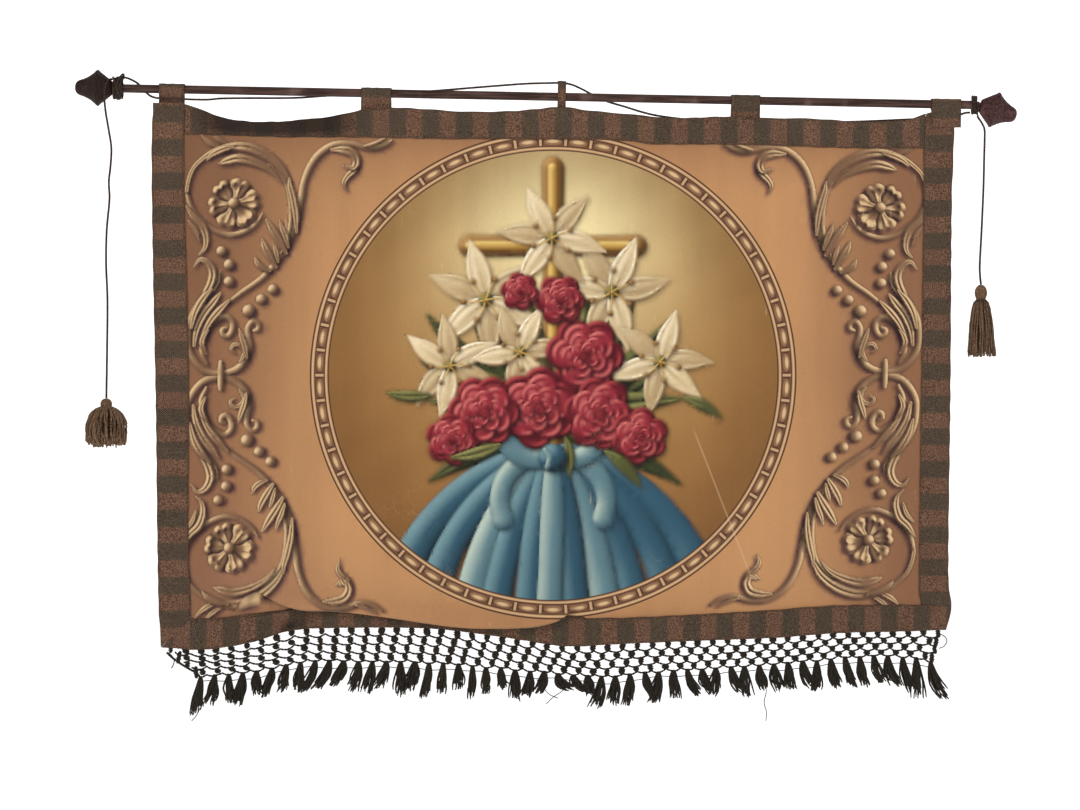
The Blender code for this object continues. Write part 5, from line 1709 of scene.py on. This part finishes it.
def tassel_pieces(material):
    """The two big tassels, each a wound head over twisted yarn."""
    for name, middle, radius, height, rows, count, uneven, thick, wander in BIG_TASSELS:
        chance = random.Random(len(name) * 7 + count)
        head = np.array(middle, float)
        pile = Pile()
        # the head, wound with yarn over a ball
        core = []
        for k in range(HEAD_RINGS):
            lat = math.pi * (k + 0.35) / (HEAD_RINGS - 0.3)
            for s in range(HEAD_SIDES):
                lon = s * math.tau / HEAD_SIDES
                out = (radius - 0.9) * math.sin(lat)
                core.append(head + np.array([
                    out * math.cos(lon), out * math.sin(lon), (height / 2 - 0.5) * math.cos(lat),
                ]))
        pile.add(core, ring_faces(HEAD_RINGS, HEAD_SIDES))
        for k in range(HEAD_WINDINGS):
            lean = chance.uniform(-0.5, 0.5)
            lon = k * math.tau / HEAD_WINDINGS + chance.uniform(-0.1, 0.1)
            path = []
            for t in np.linspace(0.06, 0.97, 13):
                lat = math.pi * t
                turn = lon + lean * (t - 0.5)
                out = (radius - 0.55) * math.sin(lat)
                path.append(head + np.array([
                    out * math.cos(turn), out * math.sin(turn), (height / 2 - 0.3) * math.cos(lat),
                ]))
            strand(pile, path, 0.85, 5)
        for k in range(NECK_WINDINGS):
            drop = rows[0][0] + 0.4 + k * 1.3
            ring = radius * math.sqrt(max(1 - (drop / (height / 2)) ** 2, 0.12)) + 0.3
            turn = np.linspace(0, math.tau, 25)
            above = -drop + 0.25 * np.sin(turn + k)
            path = head + np.stack([ring * np.cos(turn), ring * np.sin(turn), above], -1)
            strand(pile, path, 0.75, 5)
        drops = np.linspace(rows[0][0], rows[-1][0], 12)
        reach = along(rows, drops)
        for n in range(count):
            lon = n * GOLDEN_ANGLE + chance.uniform(-0.2, 0.2)
            fill = 0.25 + 0.75 * math.sqrt((n + 0.5) / count)
            length = 1 + chance.uniform(-uneven, uneven)
            if name == "tassel_left" and fill < 0.7:
                length *= 1.05
            start, other = chance.uniform(0, math.tau), chance.uniform(0, math.tau)
            size = thick * chance.uniform(0.75, 1.2)
            path, sizes = [], []
            for k, (drop, out) in enumerate(zip(drops, reach)):
                share = k / (len(drops) - 1)
                fade = min(share * 2.2, 1)
                away = out * fill + fade * wander * 0.55 * math.sin(share * 6.5 + start)
                turn = lon + fade * wander * 0.9 * math.sin(share * 5 + other) / max(out, 6)
                shift = 0.0 if name == "tassel_left" else 0.6 * share
                path.append(head + np.array([
                    away * math.cos(turn) + shift, away * math.sin(turn) * 0.97,
                    -(rows[0][0] + (drop - rows[0][0]) * length),
                ]))
                sizes.append(size * (1.0 if share < 0.8 else 1.0 + 0.45 * math.sin((share - 0.8) * 12)))
            strand(pile, path, sizes, *TASSEL_YARN)
        if name == "tassel_left":
            for dx, dy, dz in ((-7, -3, -14), (-10, 2, -11), (-4, -6, -12)):
                tip = head + np.array([-22.0, -6.0, -44.0])
                route = [tip + (4, 1, 12), tip, tip + np.array([dx, dy, dz]) * 0.8]
                thread(pile, route, 2.0, 1.1, *TASSEL_YARN)
        mesh_piece(name + "_yarn", pile.places(), pile.faces, material, (name,))


def net_points(across, line, shift):
    """Places of the hanging net from (column, line) of its flat pattern, with a shift in millimetres."""
    across, line = np.asarray(across, float), np.asarray(line, float)
    share = across / (2 * NET_MESHES)
    down = line / NET_ROWS
    top_x = NET_TOP_SPAN[0] + (NET_TOP_SPAN[1] - NET_TOP_SPAN[0]) * share
    foot_x = NET_FOOT_SPAN[0] + (NET_FOOT_SPAN[1] - NET_FOOT_SPAN[0]) * share
    x = top_x + (foot_x - top_x) * down
    top_z = between(LEVEL_LINES, np.full(np.shape(top_x), NET_HEAD_ROW), top_x)
    z = top_z + (along(NET_FOOT, foot_x) - top_z) * down
    y = NET_LIFT + waves(x, np.full(np.shape(x), 3.0), np.full(np.shape(x), WAVE_START))
    return np.stack([x, y, z], -1) + np.asarray(shift, float)


NET_PLY = 1.0
NET_PLY_AWAY = 0.65
KNOT_HALF = 4.6
KNOT_DEPTH = 2.1
KNOT_RINGS = 6
KNOT_SIDES = 8
LOCK_STRANDS = 20
# A lock's yarn: its radius from knot to tip
LOCK_YARN = (1.1, 1.3, 1.4, 1.4, 1.35, 1.3, 1.2, 0.8)


def net_piece(material):
    """The knotted net with its locks of yarn, one piece as a maker ties it."""
    chance = random.Random(17)
    pile = Pile()
    columns = 2 * NET_MESHES
    column, line = np.meshgrid(np.arange(columns + 1), np.arange(NET_ROWS + 1))
    hangs = column % 2 == line % 2
    shift = np.where(line == 0, 0.0, np.where(hangs, -NET_ZIGZAG, NET_ZIGZAG))
    places = net_points(column, line, np.zeros(3))
    places[..., 2] += shift
    jitter = np.array([[[chance.uniform(-0.9, 0.9), chance.uniform(-0.4, 0.4), chance.uniform(-1.0, 1.0)]
                        for _ in range(columns + 1)] for _ in range(NET_ROWS + 1)])
    jitter[0] = 0
    places += jitter
    for row in range(NET_ROWS + 1):
        for c in range(columns):
            start, end = places[row, c], places[row, c + 1]
            sag = chance.uniform(0.2, 1.3) if row else 0.2
            for side in (-1, 1):
                path = []
                for t in (0, 0.25, 0.5, 0.75, 1):
                    point = start + (end - start) * t
                    twist = math.pi * 2.2 * t + c + row
                    away = NET_PLY_AWAY * side
                    point = point + np.array([0, away * math.cos(twist), away * math.sin(twist)])
                    point[2] -= sag * 4 * t * (1 - t)
                    path.append(point)
                strand(pile, path, NET_PLY, 4)
    for row in range(NET_ROWS):
        for c in range(columns + 1):
            if (c + row) % 2 and 0 < c < columns:
                continue
            top, foot = places[row, c], places[row + 1, c]
            middle = (top + foot) / 2 + np.array([chance.uniform(-0.5, 0.5), -0.3, 0])
            edge = c in (0, columns)
            half = KNOT_HALF * chance.uniform(0.8, 1.1) * (0.7 if edge else 1.0)
            tall = max((top[2] - foot[2]) / 2 + 0.8, 3.0) * (1.15 if edge else 1.0)
            lean = chance.uniform(-0.5, 0.5)
            verts = []
            for k in range(KNOT_RINGS):
                lat = math.pi * (k + 0.4) / (KNOT_RINGS - 0.2)
                for s in range(KNOT_SIDES):
                    lon = s * math.tau / KNOT_SIDES
                    lump = 1 + 0.12 * math.cos(2 * lon + k * 1.2 + c)
                    out = half * math.sin(lat) ** 0.6 * lump * math.cos(lon)
                    up = tall * math.cos(lat)
                    deep = KNOT_DEPTH * math.sin(lat) * math.sin(lon)
                    verts.append(middle + np.array([out + lean * up * 0.4, deep, up]))
            pile.add(verts, ring_faces(KNOT_RINGS, KNOT_SIDES))
            turn = np.linspace(0, math.tau, 9)
            for at in (0.30, -0.22):
                tilt = chance.uniform(-0.9, 0.9)
                ring = middle + np.stack([
                    (half + 0.2) * np.cos(turn) + lean * at * tall * 0.4, 2.3 * np.sin(turn),
                    at * tall + tilt * np.cos(turn),
                ], -1)
                strand(pile, ring, 0.85, 4)
    locks(pile, places[NET_ROWS], chance)
    loose_threads(pile)
    return mesh_piece("net_fringe_yarn", pile.places(), pile.faces, material, ("net_fringe",))


def locks(pile, foot, chance):
    """A lock of yarn from each lower knot, its ends splayed and ragged."""
    leans = [(x, lean) for x, lean, _ in LOCK_TIPS]
    drops = [(x, drop) for x, _, drop in LOCK_TIPS]
    for c in range(0, len(foot), 2):
        start = foot[c]
        x = float(start[0])
        lean = float(along(leans, x)) + chance.uniform(-5.5, 5.5)
        drop = float(along(drops, x)) + chance.uniform(-5.0, 6.0)
        wide = chance.uniform(6.6, 9.8)
        hook = chance.choice((0, 0, -1, 1, 1)) * chance.uniform(3.0, 10.0)
        # a few locks are curled up shorter
        if -3 < x < 70 or 398 < x < 410:
            hook *= 1.5
            drop *= 0.8
        for n in range(LOCK_STRANDS):
            angle = n * GOLDEN_ANGLE + chance.uniform(-0.3, 0.3)
            fill = math.sqrt((n + 0.5) / LOCK_STRANDS)
            length = 1 + chance.uniform(-0.22, 0.08)
            splay = wide * fill * chance.uniform(0.75, 1.2)
            stray = chance.uniform(-3.6, 3.6)
            curl, at = chance.uniform(0.6, 1.9), chance.uniform(0, math.tau)
            path = []
            for t in np.linspace(0, 1, len(LOCK_YARN)):
                spread = 1.6 * fill + (splay - 1.6 * fill) * min(t * 1.9, 1) ** 0.8
                side = spread * math.cos(angle)
                deep = 0.5 * spread * math.sin(angle)
                bend = lean * t * length - lean * t * (1 - t) * 0.6 + hook * t * t
                wave = curl * math.sin(t * 7 + at)
                down = drop * t * length - abs(hook) * 0.5 * t**3
                aside = bend + side + stray * t * t + wave * t
                path.append(start + np.array([aside, deep + 0.3 * wave, 1.5 - down]))
            sizes = np.array(LOCK_YARN) * chance.uniform(0.8, 1.15)
            strand(pile, path, sizes, 4)


def loose_threads(pile):
    """The rope along the left edge, its stray loop, the thread across the locks, and pulled threads."""
    edge = [
        (-548.5, 1.0, -806), (-541, 0, -813), (-530, -1, -821), (-517, -1, -829), (-505, -1, -836),
        (-500, 0, -842),
    ]
    thread(pile, edge, 1.6, 2.0, 9, 3, math.tau / 11)
    loop = [(-546, -2, -806), (-539.5, -5, -811), (-536.5, -6, -818), (-538.5, -5, -825), (-541, -3, -828)]
    thread(pile, [(x - 0.5, y, z) for x, y, z in loop], 2.0, 0.8, 5)
    across = []
    for x in np.linspace(-498, 560, 150):
        z = float(along(NET_FOOT, x)) - 9.5 + 1.3 * math.sin(x / 21.0) + 0.8 * math.sin(x / 8.0)
        across.append((x, -3.4 + 0.5 * math.sin(x / 6.5), z))
    strand(pile, across, 0.62, 4)
    for route in (
        ((319, -3, -848), (320.5, -4, -862), (317.5, -4, -878), (321, -4, -893), (320, -3, -905)),
        ((573, 0, -779), (579.5, -2, -783), (582.5, -2, -789), (578, -2, -797), (571, -1, -800)),
        ((-486, -4, -868), (-497, -5, -882), (-505, -5, -897), (-512, -4, -905)),
        ((-12, -4, -845), (-2, -5, -857), (6, -5, -866), (19, -4, -872)),
        ((36, -4, -850), (24, -5, -862), (11, -5, -871), (2, -4, -880)),
    ):
        thread(pile, route, 2.0, 0.62, 4)


# What the object stands before, the light and the camera

FLOOR = -1.15
CAMERA_PLACE = (-0.00725, -4.35, -0.44718)
CAMERA_LENS = 100.0
ROOM_LIGHT = 0.5
LIT_MIDDLE = (0, 0, -0.45)
BACKDROP = 13.0
BACKDROP_HALF = 16.0
BACKDROP_BEND = 3.0
PAPER_GLOW = 0.38
# Lamps: name, place, what it points at, size, power and colour
LAMPS = (
    ("key", (-1.9, -3.2, 1.3), LIT_MIDDLE, (1.6, 1.6), 60.0, (1, 0.985, 0.96)),
    ("fill", (2.4, -3.0, 0.4), LIT_MIDDLE, (2.2, 2.2), 34.0, (1, 1, 1)),
    ("back_wash", (0, 8.5, 4.5), (0, BACKDROP, 0), (8.0, 2.0), 120.0, (1, 1, 1)),
    ("back_fill", (1.6, 3.4, 1.4), LIT_MIDDLE, (1.8, 1.8), 22.0, (1, 1, 1)),
)


def studio():
    """A sheet of pale paper that is the floor and, far behind, the backdrop."""
    material = bpy.data.materials.new("backdrop_paper")
    material.use_nodes = True
    tree = material.node_tree
    surface = tree.nodes["Principled BSDF"]
    surface.inputs["Roughness"].default_value = 0.9
    surface.inputs["Emission Color"].default_value = (1, 1, 1, 1)
    surface.inputs["Emission Strength"].default_value = PAPER_GLOW
    place = node(tree, "ShaderNodeTexCoord").outputs["Object"]
    grain = noise(tree, place, 300.0, 2.0)
    colour = blend_colour(tree, grain, (247, 247, 247), (251, 251, 251))
    finish_material(tree, surface, colour, grain, 0.0002, 0.2)
    profile = [(-BACKDROP_HALF, FLOOR), (BACKDROP - BACKDROP_BEND, FLOOR)]
    for k in range(1, 13):
        turn = k / 12 * math.pi / 2
        profile.append((
            BACKDROP - BACKDROP_BEND * (1 - math.sin(turn)), FLOOR + BACKDROP_BEND * (1 - math.cos(turn)),
        ))
    profile.append((BACKDROP, 9.0))
    verts, faces = [], []
    for k, (y, z) in enumerate(profile):
        verts += [(-BACKDROP_HALF, y, z), (BACKDROP_HALF, y, z)]
        if k:
            faces.append((2 * k - 2, 2 * k - 1, 2 * k + 1, 2 * k))
    mesh = bpy.data.meshes.new("backdrop")
    mesh.from_pydata(verts, [], faces)
    mesh.polygons.foreach_set("use_smooth", [True] * len(mesh.polygons))
    mesh.materials.append(material)
    backdrop = bpy.data.objects.new("backdrop", mesh)
    bpy.context.scene.collection.objects.link(backdrop)


def light(name, place, target, size, power, colour):
    """A soft rectangular lamp that points at a target."""
    data = bpy.data.lights.new(name, "AREA")
    data.shape = "RECTANGLE"
    data.size, data.size_y = size
    data.energy = power
    data.color = colour
    lamp = bpy.data.objects.new(name, data)
    lamp.location = place
    aim = Vector(target) - Vector(place)
    lamp.rotation_euler = aim.to_track_quat("-Z", "Y").to_euler()
    bpy.context.scene.collection.objects.link(lamp)


def look():
    """The room's light, the lamps and the camera."""
    scene = bpy.context.scene
    scene.view_settings.view_transform = "Standard"
    world = bpy.data.worlds.new("studio")
    world.use_nodes = True
    world.node_tree.nodes["Background"].inputs["Color"].default_value = (1, 1, 1, 1)
    world.node_tree.nodes["Background"].inputs["Strength"].default_value = ROOM_LIGHT
    scene.world = world
    for lamp in LAMPS:
        light(*lamp)
    data = bpy.data.cameras.new("camera")
    data.sensor_width = 36.0
    data.lens = CAMERA_LENS
    data.clip_end = 60.0
    data.dof.use_dof = False
    camera = bpy.data.objects.new("camera", data)
    camera.location = CAMERA_PLACE
    camera.rotation_euler = (math.pi / 2, 0, 0)
    scene.collection.objects.link(camera)
    scene.camera = camera


look()
studio()

print_look = print_material()
braid_look = galloon_material()
cord_look = yarn_material("cord_yarn", (30, 22, 18), (62, 46, 38), (104, 82, 66))
tassel_look = yarn_material("tassel_yarn", (60, 44, 32), (120, 92, 69), (172, 142, 110))
net_look = yarn_material("net_yarn", (20, 16, 12), (42, 35, 26), (76, 65, 48))
bar_wood = wood_material("rod_wood", (46, 31, 27), (80, 59, 53), (120, 95, 87))
left_wood = wood_material("dark_wood", (30, 19, 17), (48, 34, 30), (72, 55, 50), "Z")
right_wood = wood_material("red_wood", (46, 28, 27), (84, 56, 53), (120, 91, 86), "Z")

cord_pieces(cord_look)
printed = panel_piece(print_look)
netting = net_piece(net_look)
for name, flat in (
    ("band_top", (1.07, 0.045)), ("band_left", (0.045, 0.79)),
    ("band_right", (0.045, 0.77)), ("band_bottom", (1.14, 0.045)),
):
    band_piece(name, braid_look)
for row in TABS:
    tab_piece(row, braid_look)
rod_piece(bar_wood)
finial_pieces(left_wood, right_wood)
wrap_pieces(cord_look)
tassel_pieces(tassel_look)

bpy.context.view_layer.update()
